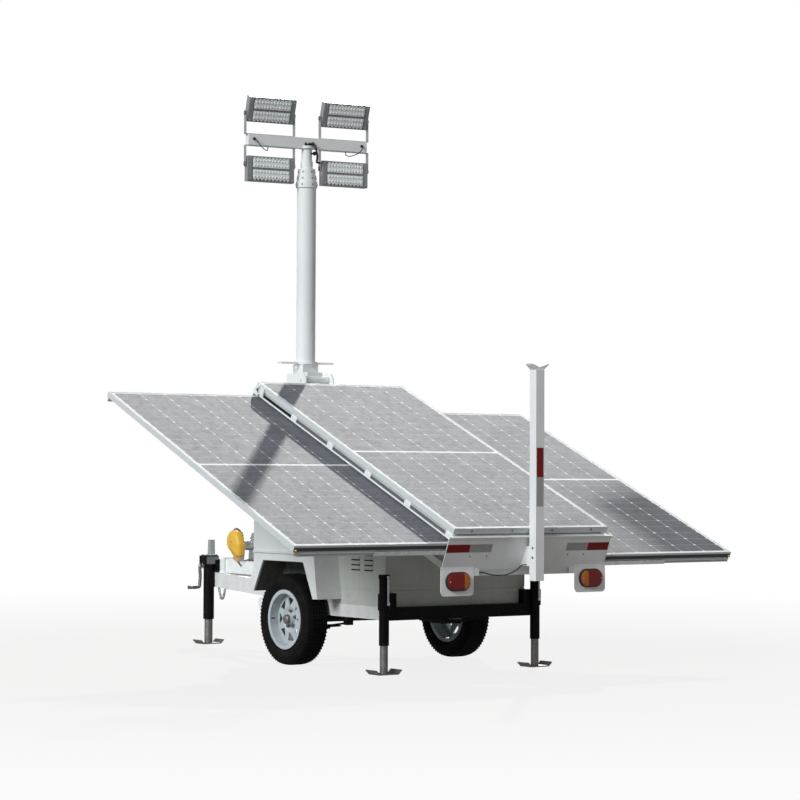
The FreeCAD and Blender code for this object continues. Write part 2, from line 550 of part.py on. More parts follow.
# Running gear
def make_axle():
    beam = rod("axle_tube", "axle_radius", "2 * (half_track - hub_long / 2) - 10", "x")
    place(beam, "-half_track + hub_long / 2 + 5", AXLE_Y, "tyre_radius")
    spindle = rod("axle_spindle", "spindle_radius", "2 * (half_track + 20)", "x")
    place(spindle, "-half_track - 20", AXLE_Y, "tyre_radius")
    pieces = [beam, spindle]
    for side, sign in SIDES:
        pad = box(f"{side}_spring_pad", "leaf_wide + 12", "spring_seat", "axle_radius + 8")
        place(pad, f"{sign} * (rail_x + rail_thick / 2) - leaf_wide / 2 - 6", f"{AXLE_Y} - spring_seat / 2",
              "tyre_radius - axle_radius - 8")
        pieces.append(pad)
    return node("axle", fuse("axle_solid", pieces))


def make_springs():
    """Three leaves on an arc under the axle, with a hanger at each eye."""
    pieces = []
    top = "(tyre_radius - axle_radius - 8 - spring_fit)"
    for side, sign in SIDES:
        mid_x = f"{sign} * (rail_x + rail_thick / 2)"
        for leaf, share in enumerate((1.0, 0.72, 0.45)):
            half = f"spring_half * {share}"
            high, low = f"{top} - {leaf} * leaf_thick", f"{top} - ({leaf} + 1) * leaf_thick"
            rise = f"spring_camber * {share * share}"
            strip = plate(f"{side}_leaf_{leaf}", "YZ_Plane", [
                (f"-({half})", f"{high} + {rise}"), (f"-({half}) * 0.6", f"{high} + {rise} * 0.36"),
                ("-spring_seat / 2", high), ("spring_seat / 2", high),
                (f"({half}) * 0.6", f"{high} + {rise} * 0.36"), (half, f"{high} + {rise}"),
                (half, f"{low} + {rise}"), (f"({half}) * 0.6", f"{low} + {rise} * 0.36"),
                ("spring_seat / 2", low), ("-spring_seat / 2", low),
                (f"-({half}) * 0.6", f"{low} + {rise} * 0.36"), (f"-({half})", f"{low} + {rise}"),
            ], "leaf_wide", centred=True)
            pieces.append(place(strip, mid_x, AXLE_Y))
        for end, way in (("front", "1"), ("rear", "-1")):
            hanger = box(f"{side}_{end}_hanger", "leaf_wide", "hanger_long",
                         f"tray_floor - rail_tall - {top} - spring_camber + 2 * leaf_thick")
            place(hanger, f"{mid_x} - leaf_wide / 2", f"{AXLE_Y} + {way} * (spring_half - 8) - hanger_long / 2",
                  f"{top} + spring_camber - 2 * leaf_thick")
            pieces.append(hanger)
    return node("leaf_springs", fuse("springs", pieces))


def make_wheel(side, sign):
    seat = "(rim_radius + rim_fit)"
    side_out, side_in = "(rim_half - rim_fit)", "(rim_half - rim_fit - tyre_wall)"
    bulge = "(rim_lip + tyre_radius) / 2"
    outer = [("-" + side_out, seat), ("-" + side_out, "rim_lip + rim_fit"), ("-tyre_wide / 2", bulge),
             ("-tyre_wide / 2 + 12", "tyre_radius - 14"), ("-tyre_wide / 2 + 28", "tyre_radius"),
             ("tyre_wide / 2 - 28", "tyre_radius"), ("tyre_wide / 2 - 12", "tyre_radius - 14"),
             ("tyre_wide / 2", bulge), (side_out, "rim_lip + rim_fit"), (side_out, seat)]
    inner = [(side_in, seat), ("tyre_wide / 2 - tyre_wall", bulge),
             ("tyre_wide / 2 - 30", "tyre_radius - tyre_wall - 4"),
             ("-tyre_wide / 2 + 30", "tyre_radius - tyre_wall - 4"),
             ("-tyre_wide / 2 + tyre_wall", bulge), ("-" + side_in, seat)]
    tyre = turned(f"{side}_tyre_body", outer + inner)
    rim = turned(f"{side}_rim_body", [
        ("-rim_half - rim_wall", "rim_lip"), ("-rim_half", "rim_lip"), ("-rim_half", "rim_radius"),
        ("rim_half", "rim_radius"), ("rim_half", "rim_lip"), ("rim_half + rim_wall", "rim_lip"),
        ("rim_half + rim_wall", "rim_radius - rim_wall"), ("-12 + disc_thick", "rim_radius - rim_wall"),
        ("-30 + disc_thick", "hub_radius + 26"), ("-16 + disc_thick", "hub_radius"),
        ("hub_long / 2", "hub_radius - 8"), ("hub_long / 2", "spindle_radius + bearing_fit"),
        ("-hub_long / 2 - 10", "spindle_radius + bearing_fit"), ("-hub_long / 2 - 10", "hub_radius - 22"),
        ("-16", "hub_radius - 12"), ("-16", "hub_radius"), ("-30", "hub_radius + 26"),
        ("-12", "rim_radius - rim_wall"), ("-rim_half - rim_wall", "rim_radius - rim_wall"),
    ])
    doc.recompute()
    hole = outline(rim, f"{side}_window_outline", "YZ_Plane", [
        ("-window_wide / 2", "window_outer"), ("window_wide / 2", "window_outer"), ("0", "window_inner"),
    ])
    pocket = rim.newObject("PartDesign::Pocket", f"{side}_window")
    pocket.Profile = hole
    pocket.Type = "ThroughAll"
    pocket.SideType = "Symmetric"
    rim.Tip = pocket
    doc.recompute()
    pattern = rim.newObject("PartDesign::PolarPattern", f"{side}_windows")
    pattern.Originals = [pocket]
    pattern.Axis = (hole, ["N_Axis"])
    pattern.Angle = 360
    pattern.setExpression("Occurrences", formula("windows"))
    rim.Tip = pattern
    turn = "0" if sign == "-1" else "180"
    for label, body in ((f"{side}_tyre", tyre), (f"{side}_rim", rim)):
        place(body, f"{sign} * half_track", AXLE_Y, "tyre_radius", axis=(0, 0, 1), angle=turn)
        node(label, body)


# Jacks
def jack_tube(name, radius, bore, low, high, x, y):
    outer = rod(f"{name}_outer", radius, f"{high} - {low}")
    inner = rod(f"{name}_bore", bore, f"{high} - {low} - foot_thick")
    place(outer, x, y, low)
    place(inner, x, y, f"{low} - 0.01")
    return outer, inner


def make_foot(name, x, y, radius, top):
    """Round leg on a foot plate whose two ends are bent up."""
    shoe = plate(f"{name}_shoe", "XZ_Plane", [
        ("-foot_long / 2", "foot_bend"), ("-foot_long / 2 + foot_bend", "0"),
        ("foot_long / 2 - foot_bend", "0"), ("foot_long / 2", "foot_bend"),
        ("foot_long / 2 - foot_thick", "foot_bend + foot_thick / 2"),
        ("foot_long / 2 - foot_bend - foot_thick / 2", "foot_thick"),
        ("-foot_long / 2 + foot_bend + foot_thick / 2", "foot_thick"),
        ("-foot_long / 2 + foot_thick", "foot_bend + foot_thick / 2"),
    ], "foot_wide", centred=True)
    place(shoe, x, y)
    leg = rod(f"{name}_leg", radius, f"{top} - foot_thick")
    place(leg, x, y, "foot_thick")
    return fuse(f"{name}_foot", [shoe, leg])


def make_jacks():
    cranks, tubes = [], []
    for side, sign in SIDES:
        x, y = f"{sign} * rear_jack_x", f"{AXLE_Y} - rear_jack_y"
        outer, bore = jack_tube(f"{side}_jack", "rear_tube_radius", "rear_leg_radius + leg_fit", "tube_foot",
                                "rear_tube_top", x, y)
        sleeve = rod(f"{side}_sleeve", "sleeve_radius", "sleeve_high - sleeve_low")
        place(sleeve, x, y, "sleeve_low")
        cap = rod(f"{side}_cap", "rear_tube_radius + 4", "cap_tall")
        place(cap, x, y, "rear_tube_top")
        tubes.append(cut(f"{side}_jack_cut", fuse(f"{side}_jack_solid", [outer, sleeve, cap]), bore))
        node(f"rear_{side}_jack_leg", make_foot(f"rear_{side}", x, y, "rear_leg_radius",
                                                "rear_tube_top - jack_stroke - foot_thick - 6"))
        handle = rod(f"{side}_crank_rod", "crank_radius / 2", "rear_tube_top - sleeve_low")
        place(handle, x, f"{y} - sleeve_radius - crank_radius", "sleeve_low")
        pin_long = "sleeve_radius - rear_tube_radius + crank_radius - crank_fit"
        pin = rod(f"{side}_crank_pin", "crank_radius / 2", pin_long, "y")
        place(pin, x, f"{y} - sleeve_radius - crank_radius", "rear_tube_top - crank_radius")
        cranks.append(fuse(f"{side}_crank", [handle, pin]))
    node("rear_jack_tubes", fuse("rear_tubes", tubes))
    x, y = "-front_jack_x", FRONT_JACK_Y
    outer, bore = jack_tube("front_jack", "front_tube_radius", "front_leg_radius + leg_fit", "tube_foot",
                            "front_tube_top", x, y)
    clamp = box("jack_clamp", "front_jack_x - beam_wide / 2 - front_tube_radius + 12", "96", "80")
    place(clamp, "-front_jack_x + front_tube_radius - 12", f"{y} - 48", f"{BEAM_LOW} + 8")
    leg_top = "front_tube_top - jack_stroke - foot_thick - 6"
    node("front_jack_leg", make_foot("front", x, y, "front_leg_radius", leg_top))
    gearbox = box("gearbox", "gearbox_wide", "gearbox_long", "gearbox_tall")
    place(gearbox, f"{x} - gearbox_wide / 2", f"{y} - gearbox_long / 2", "front_tube_top")
    node("front_jack_tube", cut("front_jack_cut", fuse("front_jack_solid", [outer, clamp, gearbox]), bore))
    crank_x = f"{x} - gearbox_wide / 2"
    crank_z = "front_tube_top + gearbox_tall / 2"
    stub = rod("crank_stub", "crank_radius", "26", "x")
    place(stub, f"{crank_x} - 26", y, crank_z)
    arm = box("crank_arm", "crank_radius", "crank_bar", "crank_drop + crank_bar")
    place(arm, f"{crank_x} - 18 - crank_radius / 2", f"{y} - crank_bar / 2", f"{crank_z} - crank_drop - crank_bar / 2")
    grip = rod("crank_grip", "grip_radius", "grip_long", "x")
    place(grip, f"{crank_x} - 18 - grip_long", y, f"{crank_z} - crank_drop")
    cranks.append(fuse("front_crank", [stub, arm, grip]))
    node("jack_cranks", fuse("cranks", cranks))


def make_winch():
    """Hand winch on the beam: two side plates, a drum between them, and a gear cover with its crank."""
    mid_y = f"{AXLE_Y} + {BEAM_FRONT} - winch_setback"
    sides = []
    for side, sign in SIDES:
        left = f"{sign} * winch_half - winch_plate / 2"
        cheek = plate(f"{side}_cheek", "YZ_Plane", [
            ("-70", BEAM_TOP), ("70", BEAM_TOP), ("60", f"{BEAM_TOP} + winch_tall * 0.7"),
            ("25", f"{BEAM_TOP} + winch_tall"), ("-50", f"{BEAM_TOP} + winch_tall"),
            ("-70", f"{BEAM_TOP} + winch_tall * 0.6"),
        ], "winch_plate")
        sides.append(place(cheek, left, mid_y))
    floor = box("winch_floor", "2 * winch_half", "140", "winch_plate")
    place(floor, "-winch_half", f"{mid_y} - 70", BEAM_TOP)
    drum = rod("winch_drum", "drum_radius", "2 * winch_half", "x")
    place(drum, "-winch_half", mid_y, f"{BEAM_TOP} + winch_tall * 0.55")
    node("winch_frame", fuse("winch", sides + [floor, drum]))
    cover = plate("winch_cover_body", "YZ_Plane", [
        ("-cover_long * 0.5", f"{BEAM_TOP} + winch_tall * 0.42"), ("-cover_long * 0.2", f"{BEAM_TOP} + 18"),
        ("cover_long * 0.25", f"{BEAM_TOP} + 18"), ("cover_long * 0.5", f"{BEAM_TOP} + winch_tall * 0.5"),
        ("cover_long * 0.3", f"{BEAM_TOP} + winch_tall * 1.05"),
        ("-cover_long * 0.3", f"{BEAM_TOP} + winch_tall * 1.1"),
    ], "cover_thick")
    place(cover, "-winch_half - winch_plate / 2 - cover_thick", mid_y)
    node("winch_cover", cover)


# Mast
def make_column():
    """Square column with a hinge bracket on top: floor, two cheeks, seat and pin."""
    tube = box("column_tube", "column_wide", "column_wide", f"seat_top - seat_tall - seat_floor - {BEAM_TOP}")
    place(tube, "-column_wide / 2", f"{MAST_Y} - column_wide / 2", BEAM_TOP)
    reach = "(seat_rear + hinge_back + seat_front)"
    floor = box("seat_plate", "2 * cheek_half", reach, "seat_floor")
    place(floor, "-cheek_half", f"{HINGE_Y} - seat_rear", "seat_top - seat_tall - seat_floor")
    seat = box("seat_block", "column_wide", "column_wide", "seat_tall - rest_fit")
    place(seat, "-column_wide / 2", f"{MAST_Y} - column_wide / 2", "seat_top - seat_tall")
    pieces = [tube, floor, seat]
    for name, height in (("low", "brace_low"), ("high", "brace_high")):
        brace = box(f"{name}_brace", "brace_tall", "mast_y - column_wide / 2 - body_front", "brace_tall")
        pieces.append(place(brace, "-brace_tall / 2", f"{AXLE_Y} + body_front", height))
    for side, sign in SIDES:
        cheek = plate(f"{side}_cheek_plate", "YZ_Plane", [
            (f"{HINGE_Y} - seat_rear", "seat_top - seat_tall"),
            (f"{HINGE_Y} + hinge_back + seat_front", "seat_top - seat_tall"),
            (f"{HINGE_Y} + hinge_back + seat_front", "seat_top"),
            (f"{HINGE_Y} - seat_rear + seat_round", "seat_top"),
            (f"{HINGE_Y} - seat_rear", "seat_top - seat_round"),
        ], "cheek_thick")
        pieces.append(place(cheek, "cheek_half - cheek_thick" if sign == "1" else "-cheek_half"))
    pin = rod("hinge_pin", "pin_radius", "2 * (cheek_half + pin_out)", "x")
    pieces.append(place(pin, "-cheek_half - pin_out", HINGE_Y, HINGE_Z))
    node("mast_column", fuse("column_solid", pieces))


def make_mast_foot():
    """Foot block on the seat, with a web down to the knuckle that turns on the pin."""
    block = box("foot_block", "2 * block_half", "2 * block_half", "block_tall")
    place(block, "-block_half", f"{MAST_Y} - block_half", "seat_top")
    knuckle = rod("foot_knuckle", "hinge_radius", "2 * knuckle_half", "x")
    place(knuckle, "-knuckle_half", HINGE_Y, HINGE_Z)
    web = box("foot_web_plate", "2 * block_half", "foot_web", "hinge_drop + seat_floor")
    place(web, "-block_half", HINGE_Y, HINGE_Z)
    shelf = box("foot_shelf", "2 * block_half", "hinge_back", "seat_floor")
    place(shelf, "-block_half", HINGE_Y, "seat_top")
    bore = rod("foot_bore", "pin_radius + pin_fit", "2 * knuckle_half + 2", "x")
    place(bore, "-knuckle_half - 1", HINGE_Y, HINGE_Z)
    return node("mast_foot", cut("foot_cut", fuse("foot_solid", [block, knuckle, web, shelf]), bore))


def on_mast(piece):
    """Bring a piece drawn round its own upright axis to the mast, turned as the mast is."""
    return place(piece, "0", MAST_Y, "0", axis=(0, 0, -1), angle="mast_turned")


def make_mast():
    """Outer tube with its turning ring and two loop handles, then three tubes that slide out of it."""
    low = f"({MAST_FOOT} + rest_fit)"
    tube = place(rod("outer_tube", "mast_radius", f"{MAST_TOP} - {low}"), z=low)
    collar = place(rod("outer_collar", "collar_radius", "collar_tall"), z=MAST_TOP)
    turning = place(rod("turning_ring", "mast_radius + ring_out", "ring_tall"), z=low)
    pieces = [tube, collar, turning]
    for side, sign in SIDES:
        loop = ring(f"{side}_handle", "handle_reach - mast_radius", "2 * handle_half", "handle_rod", "handle_rod")
        start = "mast_radius" if sign == "1" else "-handle_reach"
        pieces.append(place(loop, start, "-handle_half", f"{low} + (ring_tall - handle_rod) / 2"))
    bore = rod("outer_bore", "mast_radius - mast_wall", f"{MAST_TOP} - {low} - mast_floor")
    throat = rod("outer_throat", "mast_radius - mast_step + guide_fit", MAST_TOP)
    space = [place(bore, z=f"{low} + mast_floor"), place(throat, z=f"{low} + mast_floor")]
    outer = cut("outer_cut", fuse("outer_solid", pieces), fuse("outer_space", space))
    node("mast_outer_tube", on_mast(outer))
    for stage in (1, 2, 3):
        radius = f"(mast_radius - {stage} * mast_step)"
        base = f"({low} + mast_floor + {stage} * stage_rise)"
        top = f"({MAST_TOP} + {stage} * collar_tall)"
        last = stage == 3
        end = f"({BAR_Z} - bar_tall / 2)" if last else f"({top} + collar_tall)"
        body = place(rod(f"stage_{stage}_body", radius, f"{end} - {base}"), z=base)
        band_radius = "tip_collar" if last else f"collar_radius - {stage} * collar_step"
        band_tall = "tip_collar_tall" if last else "collar_tall"
        band = rod(f"stage_{stage}_collar", band_radius, f"{band_tall} - guide_fit")
        place(band, z=f"{top} + guide_fit")
        bore_radius = f"{radius} - mast_wall" if last else f"{radius} - mast_step + guide_fit"
        space = rod(f"stage_{stage}_bore", bore_radius, f"{end} - {base} - mast_floor" if last else MAST_TOP)
        place(space, z=f"{base} - 1")
        whole = cut(f"stage_{stage}_cut", fuse(f"stage_{stage}_solid", [body, band]), space)
        node(f"mast_stage_{stage}", on_mast(whole))


LAMPS = (
    # name, side along X, up or down from the bar, pivot distance, tilt
    ("upper_left", "-1", "1", "upper_pivot", "upper_tilt"),
    ("upper_right", "1", "1", "upper_pivot", "upper_tilt"),
    ("lower_left", "-1", "-1", "lower_pivot", "0"),
    ("lower_right", "1", "-1", "lower_pivot", "0"),
)


def make_lamps():
    bar = box("bar_box", "2 * bar_half", "bar_wide", "bar_tall")
    place(bar, "-bar_half", "-bar_wide / 2", f"{BAR_Z} - bar_tall / 2")
    node("lamp_bar", on_mast(fuse("bar", [bar, bar_clamp()])))
    yokes = []
    for name, sign, way, pivot, tilt in LAMPS:
        centre = f"{sign} * lamp_spacing / 2"
        half = "(lamp_body_wide / 2 + yoke_gap)"
        pivot_z = f"{BAR_Z} + {way} * {pivot}"
        near = f"{BAR_Z} + {way} * bar_tall / 2"
        strip = box(f"{name}_yoke_base", f"2 * {half} + 2 * yoke_thick", "yoke_wide", "yoke_thick")
        strip_z = near if way == "1" else f"{near} - yoke_thick"
        parts = [place(strip, f"{centre} - {half} - yoke_thick", "-yoke_wide / 2", strip_z)]
        rise = f"({pivot} - bar_tall / 2 + yoke_wide / 2)"
        for end, turn in (("a", "-1"), ("b", "1")):
            arm = box(f"{name}_arm_{end}", "yoke_thick", "yoke_wide", rise)
            x = f"{centre} + {turn} * ({half} + yoke_thick / 2) - yoke_thick / 2"
            parts.append(place(arm, x, "-yoke_wide / 2", near if way == "1" else f"{near} - {rise}"))
        holes = rod(f"{name}_pivot_hole", "pivot_radius + pivot_fit", f"2 * {half} + 4 * yoke_thick", "x")
        place(holes, f"{centre} - {half} - 2 * yoke_thick", "0", pivot_z)
        yokes.append(cut(f"{name}_yoke", fuse(f"{name}_yoke_solid", parts), holes))
        make_floodlight(name, centre, pivot_z, way, tilt)
    node("lamp_yokes", on_mast(fuse("yokes", yokes)))


def bar_clamp():
    """Plate under the bar, where the top tube carries it."""
    pad = rod("bar_pad", "tip_collar + pad_lap", "bar_tall / 4")
    return place(pad, z=f"{BAR_Z} - bar_tall / 2")


def make_floodlight(name, centre, pivot_z, way, tilt):
    """Housing drawn round its pivot: X across, -Y out of its face; fins behind, two banks of lights."""
    middle = f"({way} * pivot_offset)"
    low = f"({middle} - lamp_body_tall / 2)"
    shell = box(f"{name}_shell", "lamp_body_wide", "lamp_body_deep", "lamp_body_tall")
    pieces = [place(shell, "-lamp_body_wide / 2", "-lamp_body_deep / 2", low)]
    bank_tall = "((lamp_body_tall - slot_tall) / 2 - lens_border)"
    banks = (("low", f"{middle} - slot_tall / 2 - {bank_tall}"), ("high", f"{middle} + slot_tall / 2"))
    for bank, height in banks:
        lens = box(f"{name}_lens_{bank}", "lamp_body_wide - 2 * end_plate", "lens_out + 1", bank_tall)
        pieces.append(place(lens, "-lamp_body_wide / 2 + end_plate", "-lamp_body_deep / 2 - lens_out", height))
    fins = int(value("lamp_fins"))
    for i in range(fins):
        fin = box(f"{name}_fin_{i}", "lamp_body_wide - 2 * end_plate", "lamp_fin_deep + 1", "fin_thick")
        z = f"{low} + fin_margin + {i} * (lamp_body_tall - 2 * fin_margin - fin_thick) / (lamp_fins - 1)"
        pieces.append(place(fin, "-lamp_body_wide / 2 + end_plate", "lamp_body_deep / 2 - 1", z))
    head = place(fuse(f"{name}_head", pieces), centre, "0", pivot_z, axis=(1, 0, 0), angle=tilt)
    reach = "(lamp_body_wide / 2 + yoke_gap + yoke_thick + pivot_out)"
    axle = rod(f"{name}_pivot", "pivot_radius", f"2 * {reach}", "x")
    place(axle, f"{centre} - {reach}", "0", pivot_z)
    return node(f"floodlight_{name}", on_mast(fuse(f"{name}_lamp", [head, axle])))


# Leads, each along straight runs that tangent arcs join
def lead(name, points, radius):
    """A round lead through chosen points: each arc takes 0.45 of the shorter run beside it."""
    spots = [FreeCAD.Vector(*(value(part) for part in point)) for point in points]
    edges = []
    start = spots[0]
    for before, corner, after in zip(spots, spots[1:], spots[2:]):
        come, leave = (before - corner), (after - corner)
        reach = 0.45 * min(come.Length, leave.Length)
        first = corner + come.normalize() * reach
        last = corner + leave.normalize() * reach
        half_turn = (first - last).Length / 2
        inward = (come + leave).normalize()
        flat = (reach ** 2 - half_turn ** 2) ** 0.5
        bend = reach * half_turn / flat
        centre = corner + inward * (reach ** 2 / flat)
        middle = centre - inward * bend
        edges.append(Part.LineSegment(start, first).toShape())
        edges.append(Part.Arc(first, middle, last).toShape())
        start = last
        print(name, "bend", round(bend, 1), "for diameter", 2 * value(radius))
    edges.append(Part.LineSegment(start, spots[-1]).toShape())
    path = Part.Wire(edges)
    ring_wire = Part.Wire(Part.Circle(spots[0], spots[1] - spots[0], value(radius)).toShape())
    solid = path.makePipeShell([ring_wire], True, True)
    print(name, "length", round(path.Length), "fill", round(solid.Volume / path.Length / value(radius) ** 2, 4))
    piece = doc.addObject("Part::Feature", name)
    piece.Shape = solid
    return piece


def make_leads():
    """Feed from the bar's middle to the lower right yoke, a thin lead from each gland, and the tail lamps' lead."""
    front, under = "(-bar_wide / 2)", f"({BAR_Z} - bar_tall / 2)"
    arm_x = "(lamp_spacing / 2 - lamp_body_wide / 2 - yoke_gap - yoke_thick - lead_fit)"
    pieces = [lead("feed_lead", [
        ("30", f"{front} - lead_fit", f"{BAR_Z} - 6"),
        ("30", f"{front} - 24", f"{BAR_Z} - 6"),
        ("34", f"{front} - 44", f"{BAR_Z} - 36"),
        ("46", f"{front} - 42", f"{BAR_Z} - 76"),
        ("58", f"{front} - 14", f"{BAR_Z} - 106"),
        (f"{arm_x} - 24", "-6", f"{BAR_Z} - 122"),
        (arm_x, "-6", f"{BAR_Z} - 122"),
    ], "feed_radius")]
    for side, sign in SIDES:
        pieces.append(lead(f"{side}_gland_lead", [
            (f"{sign} * 392", f"{front} - lead_fit", f"{BAR_Z} + 4"),
            (f"{sign} * 392", f"{front} - 20", f"{BAR_Z} + 4"),
            (f"{sign} * 384", f"{front} - 34", f"{BAR_Z} - 16"),
            (f"{sign} * 362", f"{front} - 34", f"{BAR_Z} - 42"),
            (f"{sign} * 334", f"{front} - 22", f"{BAR_Z} - 60"),
            (f"{sign} * 306", f"{front} + 2", f"{BAR_Z} - 68"),
            (f"{sign} * 284", "-4", f"{BAR_Z} - 62"),
            (f"{sign} * 284", "-4", f"{under} - yoke_thick - lead_fit"),
        ], "lead_radius"))
    node("lamp_leads", on_mast(fuse("leads", pieces)))
    start_x = "(-plate_centre + plate_wide / 2 + tab_wide + lead_fit)"
    middle = f"({PLATE_Y} + tab_deep / 2)"
    tail = lead("tail_lead", [
        (start_x, middle, f"{PLATE_TOP} - 34"),
        (f"{start_x} + 36", middle, f"{PLATE_TOP} - 34"),
        (f"{start_x} + 84", f"{middle} - 4", f"{PLATE_TOP} - 48"),
        (f"{start_x} + 140", f"{middle} - 14", f"{PLATE_TOP} - 54"),
        (f"{start_x} + 196", f"{middle} - 28", f"{PLATE_TOP} - 46"),
        (f"{start_x} + 244", f"{middle} - 44", f"{PLATE_TOP} - 22"),
        ("-post_wide / 2 - 32", f"{middle} - 56", f"{PLATE_TOP} + 8"),
        ("-post_wide / 2 - lead_fit", f"{middle} - 56", f"{PLATE_TOP} + 8"),
    ], "tail_lead_radius")
    node("tail_cable", tail)


make_chassis()
make_rear_beam()
make_drawbar()
make_coupler()
make_body()
make_pods()
make_arch_liners()
make_array()
make_skirt()
make_rest_post()
make_axle()
make_springs()
for wheel_side, wheel_sign in SIDES:
    make_wheel(wheel_side, wheel_sign)
make_jacks()
make_winch()
make_column()
make_mast_foot()
make_mast()
make_lamps()
make_leads()

doc.recompute()
for item in doc.Objects:
    if "Invalid" in item.State or "Error" in item.State:
        raise RuntimeError(f"{item.Name} did not build: {item.State}")
os.makedirs("parts", exist_ok=True)
for label, item in nodes.items():
    if item.Shape.isNull() or not item.Shape.isValid():
        raise RuntimeError(f"{label} is not a valid solid")
    item.Shape.exportStep(f"parts/{label}.step")
print(len(nodes), "sub-parts written")
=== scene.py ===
import bmesh
import bpy
import math
from mathutils import Matrix, Vector


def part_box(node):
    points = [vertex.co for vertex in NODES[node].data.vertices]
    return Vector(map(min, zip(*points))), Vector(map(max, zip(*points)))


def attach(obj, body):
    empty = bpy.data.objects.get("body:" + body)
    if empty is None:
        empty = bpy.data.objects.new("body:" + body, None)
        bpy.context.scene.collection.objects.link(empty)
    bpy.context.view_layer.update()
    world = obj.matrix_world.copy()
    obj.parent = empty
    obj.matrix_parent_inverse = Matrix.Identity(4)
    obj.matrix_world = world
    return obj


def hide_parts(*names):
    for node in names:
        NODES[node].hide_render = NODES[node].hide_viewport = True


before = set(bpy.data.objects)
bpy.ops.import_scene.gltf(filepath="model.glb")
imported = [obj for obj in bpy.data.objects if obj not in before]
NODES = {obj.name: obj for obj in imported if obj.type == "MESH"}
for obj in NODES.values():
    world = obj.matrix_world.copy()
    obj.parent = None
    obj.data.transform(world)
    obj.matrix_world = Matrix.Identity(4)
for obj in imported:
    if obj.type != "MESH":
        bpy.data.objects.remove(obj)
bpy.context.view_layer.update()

X, Y, Z = Vector((1, 0, 0)), Vector((0, 1, 0)), Vector((0, 0, 1))
SIDES = (("left", -1), ("right", 1))

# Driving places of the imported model, in metres and radians
AXLE_Y = -0.237
HULL_HALF = 0.523
MAST_Y = AXLE_Y + 0.826
MAST_TURN = -math.radians(8.24)
BAR_Z = 3.361
TILT = math.radians(22.93)
MODULE_WIDE, MODULE_LONG = 1.134, 2.278
GLASS_RIM, GLASS_SUNK = 0.011, 0.0015
DRAWER_REACH = 1.059
PANELS = (
    # name, middle across, height of the frame's top face over the slope, body, a painted shadow on one rear
    # corner (less dust and sheen there)
    ("centre", 0.0, 0.0, "trailer", False),
    ("left", -DRAWER_REACH, -0.091, "left_panel", False),
    ("right", DRAWER_REACH, -0.182, "right_panel", True),
)

SLOPE = Matrix.Rotation(TILT, 4, "X")
MAST = Matrix.Translation((0, MAST_Y, 0)) @ Matrix.Rotation(MAST_TURN, 4, "Z")

# How much of the white background shows in mirroring surfaces
GLOSSY_SHARE = 0.3


def array_origin():
    """The array's rear edge, from the fixed glass: it lies inside its frame's rim and just under its top."""
    low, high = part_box("centre_panel_glass")
    y = low.y - GLASS_RIM * math.cos(TILT) - GLASS_SUNK * math.sin(TILT)
    z = high.z - (MODULE_LONG - GLASS_RIM) * math.sin(TILT) + GLASS_SUNK * math.cos(TILT)
    return Vector((0, y, z))


ARRAY_ORIGIN = array_origin()


def slope_point(x, along, up):
    """A point of the sloping array: across, along the slope from its rear edge, and square to it."""
    y = ARRAY_ORIGIN.y + along * math.cos(TILT) - up * math.sin(TILT)
    return Vector((x, y, ARRAY_ORIGIN.z + along * math.sin(TILT) + up * math.cos(TILT)))


def turned(start, end):
    """The rotation that takes one direction to another."""
    return start.rotation_difference(end).to_matrix().to_4x4()


def around(k, count, start=0.0):
    """The angle of step k out of count round a circle."""
    return 2 * math.pi * k / count + start


def add_object(name, data):
    obj = bpy.data.objects.new(name, data)
    bpy.context.scene.collection.objects.link(obj)
    return obj


# Node materials
class Nodes:
    """Short-hands for a node tree."""

    def __init__(self, tree):
        self.tree = tree

    def add(self, kind, **inputs):
        node = self.tree.nodes.new(kind)
        for key, value in inputs.items():
            if hasattr(node, key):
                setattr(node, key, value)
            else:
                self.feed(node.inputs[key.replace("_", " ")], value)
        return node

    def feed(self, socket, value):
        if isinstance(value, bpy.types.NodeSocket):
            self.tree.links.new(value, socket)
        else:
            socket.default_value = value

    def maths(self, operation, a, b=0.0, clamp=False):
        node = self.tree.nodes.new("ShaderNodeMath")
        node.operation = operation
        node.use_clamp = clamp
        self.feed(node.inputs[0], a)
        self.feed(node.inputs[1], b)
        return node.outputs[0]

    def background_share(self, plain=1.0):
        """How white a ray sees the background: wholly for the camera and glass, partly in mirrors."""
        path = self.add("ShaderNodeLightPath").outputs
        seen = self.maths("MULTIPLY", path["Is Camera Ray"], plain)
        seen = self.maths("MAXIMUM", seen, path["Is Transmission Ray"])
        mirrored = self.maths("MULTIPLY", path["Is Glossy Ray"], GLOSSY_SHARE)
        return self.maths("MAXIMUM", seen, mirrored)

    def blend(self, share, lit, white, output):
        """Mix the lit look and the plain white one into the tree's output."""
        mix = self.add("ShaderNodeMixShader")
        for socket, value in zip(mix.inputs, (share, lit, white)):
            self.feed(socket, value)
        self.feed(self.tree.nodes[output].inputs["Surface"], mix.outputs[0])


